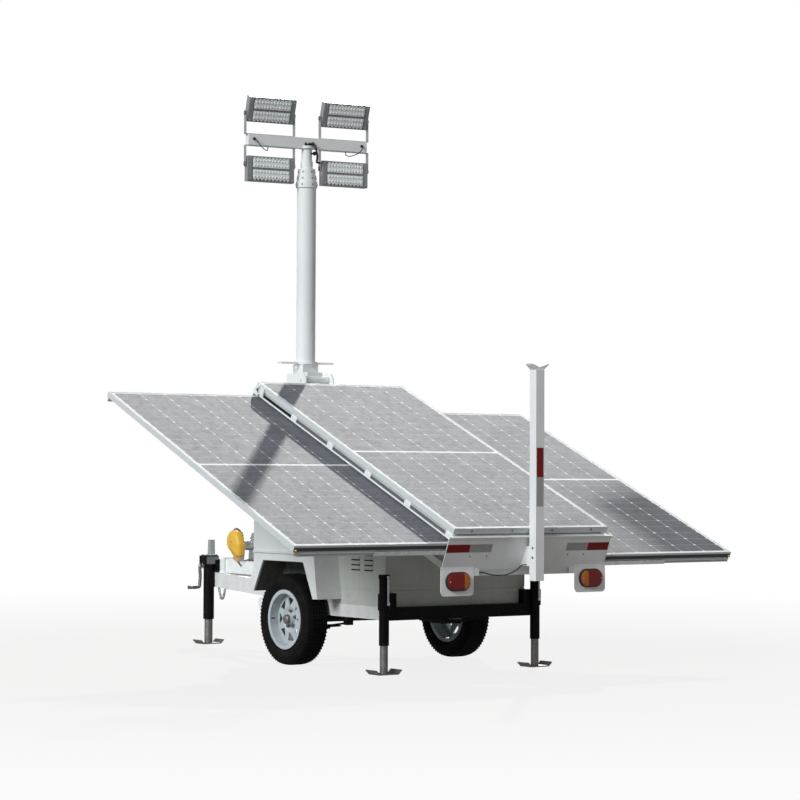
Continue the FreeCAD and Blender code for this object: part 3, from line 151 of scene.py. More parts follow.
class Shader(Nodes):
    """A material with a Principled surface."""

    def __init__(self, name, colour, rough=0.5, metal=0.0, coat=0.0, spec=0.5):
        self.mat = bpy.data.materials.new(name)
        self.mat.use_nodes = True
        super().__init__(self.mat.node_tree)
        self.bsdf = self.tree.nodes["Principled BSDF"]
        self.set("Base Color", (*colour, 1))
        self.set("Roughness", rough)
        self.set("Metallic", metal)
        self.set("Coat Weight", coat)
        self.set("Specular IOR Level", spec)
        self.coords = self.add("ShaderNodeTexCoord").outputs["Object"]

    def set(self, socket, value):
        self.feed(self.bsdf.inputs[socket], value)

    def noise(self, scale, detail=4.0, rough=0.55, stretch=None):
        vector = self.coords
        if stretch:
            mapping = self.add("ShaderNodeMapping", Vector=vector, Scale=stretch)
            vector = mapping.outputs[0]
        node = self.add("ShaderNodeTexNoise", Vector=vector, Scale=scale, Detail=detail, Roughness=rough)
        return node.outputs[0]

    def span(self, value, low, high, to_low=0.0, to_high=1.0):
        """Map low..high to to_low..to_high, held at the ends."""
        node = self.tree.nodes.new("ShaderNodeMapRange")
        node.clamp = True
        for socket, number in zip(node.inputs, (value, low, high, to_low, to_high)):
            self.feed(socket, number)
        return node.outputs[0]

    def split(self, vector):
        return self.add("ShaderNodeSeparateXYZ", Vector=vector).outputs

    def normal(self):
        return self.split(self.add("ShaderNodeNewGeometry").outputs["Normal"])

    def distance(self, value, middle):
        return self.maths("ABSOLUTE", self.maths("SUBTRACT", value, middle))

    def mix(self, factor, a, b):
        node = self.tree.nodes.new("ShaderNodeMix")
        node.data_type = "RGBA"
        colours = [s for s in node.inputs if s.type == "RGBA"]
        self.feed(node.inputs[0], factor)
        for socket, value in zip(colours, (a, b)):
            self.feed(socket, value if isinstance(value, bpy.types.NodeSocket) else (*value, 1))
        return next(s for s in node.outputs if s.type == "RGBA")

    def bump(self, height, strength, distance=0.001):
        self.set("Normal", self.add("ShaderNodeBump", Height=height, Strength=strength,
                                    Distance=distance).outputs[0])

    def colour(self, value):
        self.set("Base Color", value)

    def rough(self, value):
        self.set("Roughness", value)


def paint(name, colour, rough=0.52, dirt=(0.30, 0.27, 0.23), grime=0.5, coat=0.0, spec=0.28, bands=()):
    """Sprayed paint: faint cloudiness, orange peel, road dirt that thickens downwards, small chips.

    Bands are flush strips of tape on a rear face: lowest level, highest level, half width and colour.
    """
    ground, roof, least_dirt = 0.30, 1.1, 0.12
    bare, bare_share = (0.22, 0.2, 0.19), 0.55
    dirty_rough = 0.8
    s = Shader(name, colour, rough, coat=coat, spec=spec)
    cloud = s.span(s.noise(2.5, 3), 0.35, 0.65)
    shade = s.mix(cloud, [c * 0.95 for c in colour], [min(1, c * 1.03) for c in colour])
    across, _, height = s.split(s.coords)
    low = s.span(height, ground, roof, 1.0, least_dirt)
    patch = s.span(s.noise(7, 7, 0.65), 0.46, 0.72)
    streak = s.span(s.noise(14, 5, 0.6, (1, 1, 0.12)), 0.5, 0.78)
    soiled = s.maths("MULTIPLY", s.maths("MAXIMUM", patch, streak), low)
    soiled = s.maths("MULTIPLY", soiled, grime)
    shade = s.mix(soiled, shade, dirt)
    chip = s.span(s.noise(95, 2, 0.5), 0.735, 0.76)
    shade = s.mix(s.maths("MULTIPLY", chip, bare_share), shade, bare)
    for bottom, top, half, tape in bands:
        inside = s.maths("MULTIPLY", s.maths("LESS_THAN", s.distance(across, 0.0), half),
                         s.maths("LESS_THAN", s.normal()[1], -0.5))
        inside = s.maths("MULTIPLY", inside, s.maths("GREATER_THAN", height, bottom))
        inside = s.maths("MULTIPLY", inside, s.maths("LESS_THAN", height, top))
        shade = s.mix(inside, shade, tape)
    s.colour(shade)
    s.rough(s.span(soiled, 0, 1, rough, dirty_rough))
    s.bump(s.noise(420, 2), 0.06)
    return s.mat


def steel(name, colour, rough=0.42, scale=55):
    """Zinc-plated or bare steel: crystal patches, dull spots, a fine grain."""
    s = Shader(name, colour, rough, metal=0.85)
    cells = s.add("ShaderNodeTexVoronoi", Vector=s.coords, Scale=scale).outputs["Color"]
    tone = s.add("ShaderNodeSeparateColor", Color=cells).outputs[0]
    shade = s.mix(tone, [c * 0.86 for c in colour], [min(1, c * 1.1) for c in colour])
    spots = s.span(s.noise(24, 6, 0.7), 0.55, 0.75)
    s.colour(s.mix(s.maths("MULTIPLY", spots, 0.45), shade, (0.24, 0.21, 0.19)))
    s.rough(s.span(spots, 0, 1, rough, rough + 0.25))
    s.bump(s.noise(180, 3), 0.12)
    return s.mat


def brushed(name, colour, rough=0.4, metal=0.55):
    """Anodised extrusion with a drawn grain along the slope."""
    s = Shader(name, colour, rough, metal=metal, spec=0.25)
    grain = s.noise(60, 4, 0.6, (6, 0.12, 0.4))
    s.colour(s.mix(s.span(grain, 0.3, 0.7), [c * 0.94 for c in colour], colour))
    s.rough(s.span(s.noise(18, 4), 0.3, 0.7, rough - 0.06, rough + 0.12))
    s.bump(grain, 0.05)
    return s.mat


def plastic(name, colour, rough=0.35, coat=0.0, mottled=0.9, spec=0.4):
    """Plain plastic, slightly mottled and unevenly glossy."""
    s = Shader(name, colour, rough, coat=coat, spec=spec)
    s.colour(s.mix(s.span(s.noise(30, 4), 0.35, 0.65), [c * mottled for c in colour], colour))
    s.rough(s.span(s.noise(12, 5), 0.3, 0.7, rough - 0.05, rough + 0.15))
    s.bump(s.noise(300, 3), 0.05)
    return s.mat


def rubber(name, colour, dusty=0.35):
    """Tyre rubber: patches of dust on a grainy black."""
    s = Shader(name, colour, 0.82, spec=0.14)
    dust = s.span(s.noise(16, 7, 0.65), 0.45, 0.8, 0, dusty)
    s.colour(s.mix(dust, colour, (0.17, 0.155, 0.14)))
    s.bump(s.noise(210, 4), 0.35)
    return s.mat


def lens(name, colour, rough=0.3):
    """Moulded lens: prism ribs under a clear skin."""
    s = Shader(name, colour, rough, coat=0.15, spec=0.25)
    ribs = s.add("ShaderNodeTexWave", Vector=s.coords, Scale=95.0, Distortion=0.0).outputs["Fac"]
    s.colour(s.mix(ribs, [c * 0.6 for c in colour], [min(1, c * 1.2) for c in colour]))
    s.rough(s.span(s.noise(40, 3), 0.3, 0.7, rough, rough + 0.12))
    s.bump(ribs, 0.4)
    return s.mat


def solar_glass(name, left, top, shadowed_corner=False):
    """Half-cut cells under dusty glass: pale grid, chamfered corners, fine bus lines, drifted dust."""
    wide, long = MODULE_WIDE - 2 * GLASS_RIM, MODULE_LONG - 2 * GLASS_RIM
    columns, rows, bus_lines = 6, 24, 10
    border, middle, blur = 0.014, 0.020, 0.001
    dark_cell, pale_cell = (0.035, 0.04, 0.055), (0.06, 0.07, 0.095)
    bus_silver, grid_white = (0.45, 0.46, 0.47), (0.74, 0.76, 0.77)
    dust_grey, back_sheet = (0.56, 0.57, 0.585), (0.70, 0.71, 0.71)
    s = Shader(name, (0.05, 0.06, 0.08), 0.22, spec=0.12)
    place = s.add("ShaderNodeMapping", Vector=s.coords, vector_type="TEXTURE")
    place.inputs["Location"].default_value = slope_point(left + GLASS_RIM, GLASS_RIM, top)
    place.inputs["Rotation"].default_value = (TILT, 0, 0)
    u, v, _ = s.split(place.outputs[0])
    cell_u = (wide - 2 * border) / columns
    cell_v = (long - 2 * border - middle) / rows

    def to_line(value, cell):
        """How far inside its cell a value lies from the nearest edge."""
        part = s.maths("FRACT", s.maths("DIVIDE", value, cell))
        return s.maths("MULTIPLY", s.maths("SUBTRACT", 0.5, s.distance(part, 0.5)), cell)

    beyond = s.maths("GREATER_THAN", v, long / 2)
    v_folded = s.maths("SUBTRACT", v, s.maths("MULTIPLY", beyond, middle))
    from_border = s.maths("SUBTRACT", u, border)
    to_u, to_v = to_line(from_border, cell_u), to_line(s.maths("SUBTRACT", v_folded, border), cell_v)
    off_u, off_v = s.distance(u, wide / 2), s.distance(v, long / 2)
    edge_u, edge_v = wide / 2 - border, long / 2 - border
    grid = s.span(to_u, 0.0009, 0.0024, 0.62, 0)
    for line in (s.span(to_v, 0.0006, 0.0014, 0.40, 0),
                 s.span(s.maths("ADD", to_u, to_v), 0.009, 0.012, 1, 0),
                 s.span(off_v, middle / 2 - blur, middle / 2 + blur, 1, 0),
                 s.span(off_u, edge_u, edge_u + blur), s.span(off_v, edge_v, edge_v + blur)):
        grid = s.maths("MAXIMUM", grid, line)
    bus = s.maths("FRACT", s.maths("DIVIDE", from_border, cell_u / bus_lines))
    bus = s.span(s.distance(bus, 0.5), 0.03, 0.06, 0.28, 0)
    cell = s.mix(s.span(s.noise(3, 3), 0.35, 0.65), dark_cell, pale_cell)
    cell = s.mix(bus, cell, bus_silver)
    face = s.mix(grid, cell, grid_white)

    drift = s.noise(5, 8, 0.62)
    grains = s.noise(130, 3, 0.75)
    specks = s.span(s.noise(70, 2, 0.5), 0.66, 0.72)
    patches = s.noise(26, 6, 0.7)
    dust = s.span(drift, 0.3, 0.7, 0.11, 0.19)
    dust = s.maths("ADD", dust, s.span(grains, 0.40, 0.60, -0.10, 0.10))
    dust = s.maths("SUBTRACT", dust, s.maths("MULTIPLY", specks, 0.1))
    dust = s.maths("SUBTRACT", dust, s.span(patches, 0.60, 0.75, 0, 0.16), clamp=True)
    sheen = s.maths("MULTIPLY", s.span(grains, 0.38, 0.62, 0.68, 1.32),
                    s.span(patches, 0.3, 0.7, 1.14, 0.86))
    sheen = s.maths("MULTIPLY", sheen, s.span(specks, 0, 1, 1, 0.6))
    # Painted shadow on one rear corner: dust and sheen fade towards it
    if shadowed_corner:
        slant = s.maths("MULTIPLY", s.maths("SUBTRACT", wide, u), 0.35)
        corner_shadow = s.maths("MULTIPLY", s.span(u, wide * 0.30, wide * 0.62),
                        s.span(s.maths("ADD", v, slant), 0.85, 1.25, 1, 0))
        keep = s.span(corner_shadow, 0, 1, 1, 0.12)
        dust = s.maths("MULTIPLY", dust, keep)
        sheen = s.maths("MULTIPLY", sheen, keep)
    behind = s.maths("LESS_THAN", s.normal()[2], -0.2)
    s.colour(s.mix(behind, s.mix(dust, face, dust_grey), back_sheet))
    s.rough(s.span(patches, 0.3, 0.7, 0.70, 0.78))
    s.set("Specular IOR Level", s.maths("MULTIPLY", sheen, 0.74))
    return s.mat


TRAILER_WHITE = (0.82, 0.84, 0.84)
REFLEX_RED, REFLEX_SILVER = (0.20, 0.004, 0.005), (0.36, 0.36, 0.35)

WHITE = paint("white_paint", TRAILER_WHITE, grime=0.22)
POST = paint("post_paint", TRAILER_WHITE, grime=0.22, bands=(
    (1.165, 1.335, 0.025, REFLEX_RED), (0.995, 1.165, 0.025, REFLEX_SILVER)))
FENDER = paint("pod_paint", (0.74, 0.78, 0.77), grime=0.26)
HULL = paint("hull_paint", (0.60, 0.63, 0.60), grime=0.35)
BLACK = paint("black_paint", (0.003, 0.003, 0.0035), rough=0.55, dirt=(0.04, 0.036, 0.032), grime=0.2,
              spec=0.09)
ZINC = steel("zinc_steel", (0.56, 0.58, 0.60))
DARK_STEEL = steel("worn_steel", (0.22, 0.21, 0.20), rough=0.55)
FRAME_ALU = brushed("frame_aluminium", (0.62, 0.65, 0.665), rough=0.66, metal=0.0)
LAMP_GREY = paint("lamp_paint", (0.30, 0.31, 0.325), rough=0.45, grime=0.15)
LAMP_PLATE = paint("lamp_plate_paint", (0.27, 0.275, 0.285), rough=0.5, grime=0.1)
LENS_GREY = plastic("led_lens", (0.88, 0.92, 0.92), rough=0.3, coat=0.2, mottled=0.95)
RIM = paint("rim_paint", (0.50, 0.56, 0.59), grime=0.35)
TYRE = rubber("tyre_rubber", (0.003, 0.003, 0.0035), dusty=0.05)
LINER = paint("liner_paint", (0.085, 0.09, 0.088), rough=0.7, grime=0.5)
YELLOW = paint("winch_paint", (0.78, 0.47, 0.06), rough=0.35, dirt=(0.3, 0.18, 0.06), grime=0.5)
RED = lens("red_lens", (0.22, 0.004, 0.004))
AMBER = lens("amber_lens", (0.56, 0.15, 0.012))
CABLE = plastic("cable_rubber", (0.016, 0.016, 0.018), rough=0.5)
BRASS = steel("brass_fitting", (0.62, 0.38, 0.10), rough=0.4)
TAPE_RED = plastic("red_tape", REFLEX_RED, rough=0.45, spec=0.2)
TAPE_SILVER = plastic("silver_tape", REFLEX_SILVER, rough=0.45, spec=0.3)
GAP_SHADE = plastic("painted_gap_shade", (0.012, 0.012, 0.013), rough=0.9)
CHANNEL_SHADE_GREY = plastic("channel_shade", (0.13, 0.13, 0.13), rough=0.7)
EDGE_SHADE = plastic("painted_edge_shade", (0.045, 0.042, 0.040), rough=0.6)
# Whiter than the body paint: partly the plates' own paint and partly a painted highlight for the light they
# catch
PLATE_WHITE = paint("plate_paint", (0.93, 0.94, 0.93), grime=0.25)
STRAP = plastic("strap_webbing", (0.16, 0.03, 0.028), rough=0.8)
CRANK_STEEL = steel("crank_steel", (0.20, 0.205, 0.215), rough=0.38)

SURFACES = {
    # word in the node's name: its material
    "chassis_frame": WHITE, "rear_beam": BLACK, "drawbar_beam": WHITE, "coupler": ZINC,
    "battery_tray": HULL, "cabinet": HULL, "wheel_pods": FENDER, "array_top_frame": WHITE,
    "array_base_frame": WHITE, "slide_channels": BLACK, "middles": ZINC, "panel_frame": FRAME_ALU,
    "rear_skirt": WHITE, "tail_lamps": RED, "mast_rest_post": POST, "axle": BLACK, "leaf_springs": BLACK,
    "tyre": TYRE, "rim": RIM, "rear_jack_tubes": BLACK, "front_jack_tube": BLACK, "jack_leg": DARK_STEEL,
    "jack_cranks": ZINC, "winch_frame": ZINC, "winch_cover": YELLOW, "mast_column": WHITE,
    "mast_foot": WHITE, "mast_outer_tube": WHITE, "mast_stage": WHITE, "lamp_bar": WHITE,
    "lamp_yokes": ZINC, "floodlight": LAMP_GREY, "lamp_leads": CABLE, "tail_cable": CABLE,
    "arch_liners": LINER,
}


def dress(obj, material):
    """Give an object this one material."""
    obj.data.materials.clear()
    obj.data.materials.append(material)


def dress_nodes():
    """Give every CAD node its material: solar cells on the glasses, else the longest key in its name."""
    glasses = {f"{name}_panel_glass": (middle - MODULE_WIDE / 2, top, shadowed_corner)
               for name, middle, top, _, shadowed_corner in PANELS}
    for name, obj in NODES.items():
        if name in glasses:
            dress(obj, solar_glass(name + "_cells", *glasses[name]))
            continue
        matches = [key for key in SURFACES if key in name]
        dress(obj, SURFACES[max(matches, key=len)])


# Mesh pieces
class Mesh:
    """Collects simple forms into one joined mesh piece."""

    def __init__(self):
        self.bm = bmesh.new()
        self.materials = []
        self.current = 0

    def use(self, material):
        if material not in self.materials:
            self.materials.append(material)
        self.current = self.materials.index(material)
        return self

    def _keep(self, verts, matrix):
        bmesh.ops.transform(self.bm, matrix=matrix, verts=verts)
        for face in {f for v in verts for f in v.link_faces}:
            face.material_index = self.current
        return self

    def block(self, centre, size, turn=None, bevel=0.0):
        made = bmesh.ops.create_cube(self.bm, size=1.0)["verts"]
        bmesh.ops.scale(self.bm, vec=size, verts=made)
        if bevel:
            edges = list({e for v in made for e in v.link_edges})
            made = bmesh.ops.bevel(self.bm, geom=edges, offset=bevel, segments=2, affect="EDGES")["verts"]
            made = list(set(made))
        return self._keep(made, Matrix.Translation(centre) @ (turn or Matrix.Identity(4)))

    def rod(self, start, end, radius, sides=16, taper=1.0):
        start, end = Vector(start), Vector(end)
        axis = end - start
        made = bmesh.ops.create_cone(self.bm, cap_ends=True, segments=sides, radius1=radius,
                                     radius2=radius * taper, depth=axis.length)["verts"]
        return self._keep(made, Matrix.Translation((start + end) / 2) @ turned(Z, axis))

    def ball(self, centre, radius, squash=1.0, turn=None, detail=8):
        made = bmesh.ops.create_uvsphere(self.bm, u_segments=detail * 2, v_segments=detail,
                                         radius=radius)["verts"]
        bmesh.ops.scale(self.bm, vec=(1, 1, squash), verts=made)
        return self._keep(made, Matrix.Translation(centre) @ (turn or Matrix.Identity(4)))

    def bolt(self, seat, out, size=0.006, head=0.6):
        """Hexagon head on a round washer."""
        seat, out = Vector(seat), Vector(out).normalized()
        self.rod(seat, seat + out * size * 0.25, size * 1.35, 18)
        return self.rod(seat + out * size * 0.2, seat + out * size * (0.25 + head), size, 6)

    def ring(self, points):
        return [self.bm.verts.new(point) for point in points]

    def cap(self, ring):
        self.bm.faces.new(ring).material_index = self.current

    def band(self, one, two, close=True):
        """Faces between two equal rings, round to the first vertex again if closed."""
        made = []
        for k in range(len(one) if close else len(one) - 1):
            after = (k + 1) % len(one)
            made.append(self.bm.faces.new((one[k], one[after], two[after], two[k])))
            made[-1].material_index = self.current
        return made

    def slab(self, one, two):
        """A closed solid between two equal outlines of points."""
        one, two = self.ring(one), self.ring(two)
        self.band(one, two)
        self.cap(one)
        self.cap(two)

    def lathe(self, profile, sides, axis=X, centre=(0, 0, 0), close=True):
        """Turn a profile of (along, radius) about an axis."""
        matrix = Matrix.Translation(centre) @ turned(X, axis)
        rings = []
        for i in range(sides):
            cos, sin = math.cos(around(i, sides)), math.sin(around(i, sides))
            rings.append(self.ring(matrix @ Vector((a, r * cos, r * sin)) for a, r in profile))
        for i in range(sides):
            self.band(rings[i], rings[(i + 1) % sides], close)
        return rings

    def finish(self, name, body, slot, smooth=40, stands_for=()):
        """Make the piece's object and ride it on its body; its slot is not used."""
        bmesh.ops.recalc_face_normals(self.bm, faces=self.bm.faces)
        data = bpy.data.meshes.new(name)
        self.bm.to_mesh(data)
        self.bm.free()
        obj = add_object(name, data)
        for material in self.materials:
            data.materials.append(material)
        for face in data.polygons:
            face.use_smooth = True
        data.set_sharp_from_angle(angle=math.radians(smooth))
        if stands_for:
            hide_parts(*stands_for)
        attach(obj, body)
        return obj


def tube(name, points, radius, body, material):
    """A smooth round bar through chosen points."""
    curve = bpy.data.curves.new(name, "CURVE")
    curve.dimensions = "3D"
    spline = curve.splines.new("NURBS")
    spline.points.add(len(points) - 1)
    for point, place in zip(spline.points, points):
        point.co = (*place, 1)
    spline.order_u = 3
    spline.use_endpoint_u = True
    curve.bevel_depth = radius
    curve.bevel_resolution = 3
    curve.resolution_u = 10
    curve.use_fill_caps = True
    obj = add_object(name, curve)
    curve.materials.append(material)
    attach(obj, body)
    return obj


def make_tyres():
    """Tyre with rounded shoulders, sidewall rings and a ribbed tread cut into blocks."""
    bead, shoulder = 0.1655, 0.034
    groove, rib_top, rib_foot = 0.006, 0.0035, 0.0028
    steps, cut_every, cut_share, middle_band = 216, 3, 0.75, 0.026
    for side, _ in SIDES:
        low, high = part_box(f"{side}_tyre")
        centre = (low + high) / 2
        radius, half = (high.z - low.z) / 2, (high.x - low.x) / 2
        section = [(-0.062, bead), (-0.064, 0.186), (-0.074, 0.198), (-half + 0.002, 0.222), (-half, 0.232),
                   (-half + 0.0005, 0.240), (-half + 0.0035, 0.243), (-half + 0.0035, 0.249),
                   (-half + 0.007, 0.256), (-half + 0.013, 0.266), (-half + 0.022, 0.2745),
                   (-half + shoulder, radius - 0.002)]
        crown = []
        for x in (-0.030, -0.010, 0.010, 0.030):
            crown += [(x - rib_top, radius), (x - rib_foot, radius - groove),
                      (x + rib_foot, radius - groove), (x + rib_top, radius)]
        profile = section + crown + [(-a, r) for a, r in reversed(section)]
        mesh = Mesh().use(TYRE)
        rings = mesh.lathe(profile, steps, X, centre)
        # Every third ring sinks into a cut across the tread, in every other one only at the shoulders
        first_cut = len(section) - 3
        for i in range(0, steps, cut_every):
            for k in range(first_cut, len(profile) - first_cut):
                along, height = profile[k]
                if abs(along) < middle_band and (i // cut_every) % 2:
                    continue
                vert = rings[i][k]
                out = Vector((0, vert.co.y - centre.y, vert.co.z - centre.z))
                vert.co -= out.normalized() * min(groove * cut_share, height - radius + groove)
        mesh.finish(f"{side}_tyre_dressed", f"{side}_wheel", "tyre", 35, (f"{side}_tyre",))


def make_wheel_fittings():
    """Nuts, hub cap and valve on each spoked rim."""
    nuts, nut_circle, first_nut = 5, 0.052, 0.3
    nut_face, cap_face, valve_foot, valve_tip = 0.016, 0.035, 0.045, 0.070
    hub_cap = [(0, 0.0), (0, 0.031), (0.020, 0.030), (0.027, 0.026), (0.031, 0.018), (0.032, 0.0)]
    for side, sign in SIDES:
        low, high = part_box(f"{side}_rim")
        x, y, z = (low + high) / 2
        out = Vector((sign, 0, 0))
        mesh = Mesh().use(DARK_STEEL)
        for i in range(nuts):
            angle = around(i, nuts, first_nut)
            spoke = Vector((0, math.cos(angle), math.sin(angle)))
            mesh.bolt(Vector((x + sign * nut_face, y, z)) + spoke * nut_circle, out, 0.0095, 1.4)
        mesh.lathe(hub_cap, 28, out, (x + sign * cap_face, y, z), close=False)
        mesh.use(CABLE).rod((x + sign * valve_foot, y + 0.146, z), (x + sign * valve_tip, y + 0.140, z),
                            0.0042, 10)
        mesh.finish(f"{side}_wheel_fittings", f"{side}_wheel", "galvanised")


def oval(x, y, z, straight, radius, count=48):
    """Points round an upright oval: two half circles, each moved outwards by the straight part."""
    points = []
    for k in range(count):
        cos, sin = math.cos(around(k, count)), math.sin(around(k, count))
        points.append(Vector((x + (radius * cos + math.copysign(straight, cos)), y, z + radius * sin)))
    return points


def make_tail_lamps():
    """Oval lamps: black seal, red lens and an amber inner third, screwed to their plates."""
    low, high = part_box("tail_lamps")
    back, face = high.y, low.y
    middle_z = (low.z + high.z) / 2
    half_long, half_tall = 0.086, (high.z - low.z) / 2
    amber_from, screw_reach = 0.032, 0.070
    layers = (
        # inset of the outline, its y, material
        (0.0, back, CABLE), (0.0, face + 0.016, CABLE), (0.006, face + 0.013, CABLE),
        (0.007, face + 0.012, RED), (0.009, face + 0.004, RED), (0.016, face + 0.001, RED),
        (0.028, face, RED),
    )
    mesh = Mesh()
    for _, sign in SIDES:
        centre_x = sign * (high.x - half_long)
        amber_edge = centre_x - sign * amber_from

        def tint(faces):
            for lens_face in faces:
                inside = (lens_face.calc_center_median().x - amber_edge) * sign < 0
                lens_face.material_index = mesh.use(AMBER if inside else RED).current

        previous = None
        for inset, y, material in layers:
            outline = oval(centre_x, y, middle_z, half_long - half_tall, half_tall - inset)
            ring = mesh.use(material).ring(outline)
            if previous:
                made = mesh.band(previous, ring)
                if material is RED:
                    tint(made)
            previous = ring
        front = mesh.bm.faces.new(previous)
        split = bmesh.ops.bisect_plane(mesh.bm, geom=[front] + list(front.edges) + list(front.verts),
                                       plane_co=(amber_edge, 0, 0), plane_no=(1, 0, 0))
        tint(g for g in split["geom"] if isinstance(g, bmesh.types.BMFace))
        mesh.use(ZINC)
        for way in (-1, 1):
            mesh.bolt((centre_x + way * screw_reach, face + 0.001, middle_z), -Y, 0.0032, 0.5)
    mesh.finish("tail_lamp_lenses", "trailer", "red lens", 30, ("tail_lamps",))


def make_tapes():
    """Red and silver reflective strips on the skirt, and the bolts of the skirt and the post."""
    skirt_face, tape_level, thick, tall = -0.016, -0.118, 0.0006, 0.050
    mesh = Mesh()
    for _, sign in SIDES:
        for material, start, end in ((TAPE_RED, 0.436, 0.596), (TAPE_SILVER, 0.276, 0.436)):
            centre = slope_point(sign * (start + end) / 2, skirt_face - thick / 2, tape_level)
            mesh.use(material).block(centre, (end - start, thick, tall), SLOPE)
    mesh.finish("reflective_tapes", "trailer", "white paint")
    mesh = Mesh().use(DARK_STEEL)
    for x in (-0.44, -0.147, 0.147, 0.44):
        mesh.bolt(slope_point(x, 0, -0.0175), SLOPE @ -Y, 0.005)
    post_half, post_y = 0.030, -1.855
    for z in (0.70, 0.755):
        for _, sign in SIDES:
            mesh.bolt((sign * post_half, post_y, z), X * sign, 0.0055)
    for _, sign in SIDES:
        for x in (0.30, 0.42):
            mesh.bolt(slope_point(sign * x, skirt_face, -0.168), SLOPE @ -Y, 0.0035)
    mesh.finish("skirt_bolts", "trailer", "galvanised")


LAMPS = (
    # name, side, way up, pivot distance, tilt in degrees
    ("upper_left", -1, 1, 0.175, 20), ("upper_right", 1, 1, 0.175, 20),
    ("lower_left", -1, -1, 0.160, 0), ("lower_right", 1, -1, 0.160, 0),
)


def make_lamp_faces():
    """On each floodlight: two banks of lens domes with scalloped rims, dark end plates, screws, knobs."""
    wide, tall, deep, off_middle = 0.334, 0.165, 0.050, 0.270
    bank_wide, bank_tall, bank_deep = 0.262, 0.0635, 0.003
    domes, dome_pitch, dome_radius = 12, 0.0212, 0.0088
    scallops, scallop_pitch, scallop_radius = 10, 0.0265, 0.0075
    plate_wide, plate_deep, screw_height = 0.030, 0.005, 0.066
    front = -deep / 2 - 0.004
    forwards = Matrix.Rotation(math.pi / 2, 4, "X")
    for name, sign, way, pivot, tilt in LAMPS:
        place = MAST @ Matrix.Translation((sign * off_middle, 0, BAR_Z + way * pivot))
        head = place @ Matrix.Rotation(math.radians(tilt), 4, "X")
        middle = way * 0.030
        mesh = Mesh().use(LENS_GREY)
        for row in (-1, 1):
            z = middle + row * (0.005 + bank_tall / 2)
            mesh.block((0, front - bank_deep / 2, z), (bank_wide, bank_deep, bank_tall - 0.004), bevel=0.0012)
            for line in (-1, 1):
                for i in range(domes):
                    x = (i - (domes - 1) / 2) * dome_pitch
                    mesh.ball((x, front - bank_deep, z + line * 0.0155), dome_radius, 0.45, forwards, 5)
            edge = z + row * (bank_tall / 2 - 0.001)
            for i in range(scallops):
                x = (i - (scallops - 1) / 2) * scallop_pitch
                mesh.rod((x, front, edge), (x, front - bank_deep, edge), scallop_radius, 14)
        for end in (-1, 1):
            x = end * (wide / 2 - 0.016)
            mesh.use(LAMP_PLATE).block((x, -deep / 2 - plate_deep / 2, middle),
                                       (plate_wide, plate_deep, tall - 0.006), bevel=0.0018)
            mesh.use(ZINC)
            for height in (-screw_height, screw_height):
                mesh.bolt((x, -deep / 2 - plate_deep, middle + height), -Y, 0.0032, 0.5)
        mesh.use(LAMP_PLATE).block((0, -deep / 2 - 0.001, middle), (0.264, 0.002, 0.009))
        mesh.use(CABLE)
        for end in (-1, 1):
            reach = wide / 2 + 0.011
            mesh.rod((end * reach, 0, 0), (end * (reach + 0.0035), 0, 0), 0.014, 18)
        bmesh.ops.transform(mesh.bm, matrix=head, verts=mesh.bm.verts)
        mesh.finish(f"{name}_lamp_face", f"{name}_lamp", "lamp grey", 35)


def make_mast_fittings():
    """Screws round the mast's three stacked collars."""
    screws, first_screw = 6, -0.35
    collars = (("outer", "mast_turning_tube", 0.071, 3.086), ("mast_first", "mast_first", 0.064, 3.128),
               ("mast_second", "mast_second", 0.057, 3.169))
    for name, body, radius, height in collars:
        mesh = Mesh().use(DARK_STEEL)
        for i in range(screws):
            angle = around(i, screws, first_screw)
            out = Vector((math.cos(angle), math.sin(angle), 0))
            mesh.bolt(MAST @ (out * radius + Z * height), MAST.to_3x3() @ out, 0.0042, 0.5)
        mesh.finish(f"{name}_collar_screws", body, "galvanised")


def make_bar_fittings():
    """Cable glands on the lamp bar, the black clamp at its middle and the locking knob under it."""
    front, clamp_y, clamp_z = -0.025, -0.033, BAR_Z - 0.012
    glands = ((0.030, -0.006, 0.0125), (0.392, 0.004, 0.0085), (-0.392, 0.004, 0.0085))
    nut_deep, gland_deep = 0.006, 0.017
    mesh = Mesh().use(CABLE)
    for x, z, radius in glands:
        seat = Vector((x, front, BAR_Z + z))
        mesh.rod(seat, seat - Y * nut_deep, radius * 1.25, 6)
        mesh.rod(seat - Y * nut_deep, seat - Y * gland_deep, radius, 18, 0.65)
    mesh.use(BLACK)
    for x in (-0.022, 0.004):
        mesh.block((x, front - 0.007, BAR_Z - 0.016), (0.009, 0.014, 0.038), bevel=0.002)
    mesh.rod((-0.030, clamp_y, clamp_z), (0.012, clamp_y, clamp_z), 0.0045, 12)
    out = Vector((0.62, -0.78, 0)).normalized()
    neck = Z * (BAR_Z - 0.068)
    mesh.rod(neck + out * 0.034, neck + out * 0.052, 0.007, 12)
    mesh.rod(neck + out * 0.052, neck + out * 0.066, 0.014, 8, 0.85)
    bmesh.ops.transform(mesh.bm, matrix=MAST, verts=mesh.bm.verts)
    mesh.finish("bar_glands_and_clamp", "mast_third", "black rubber", 35)


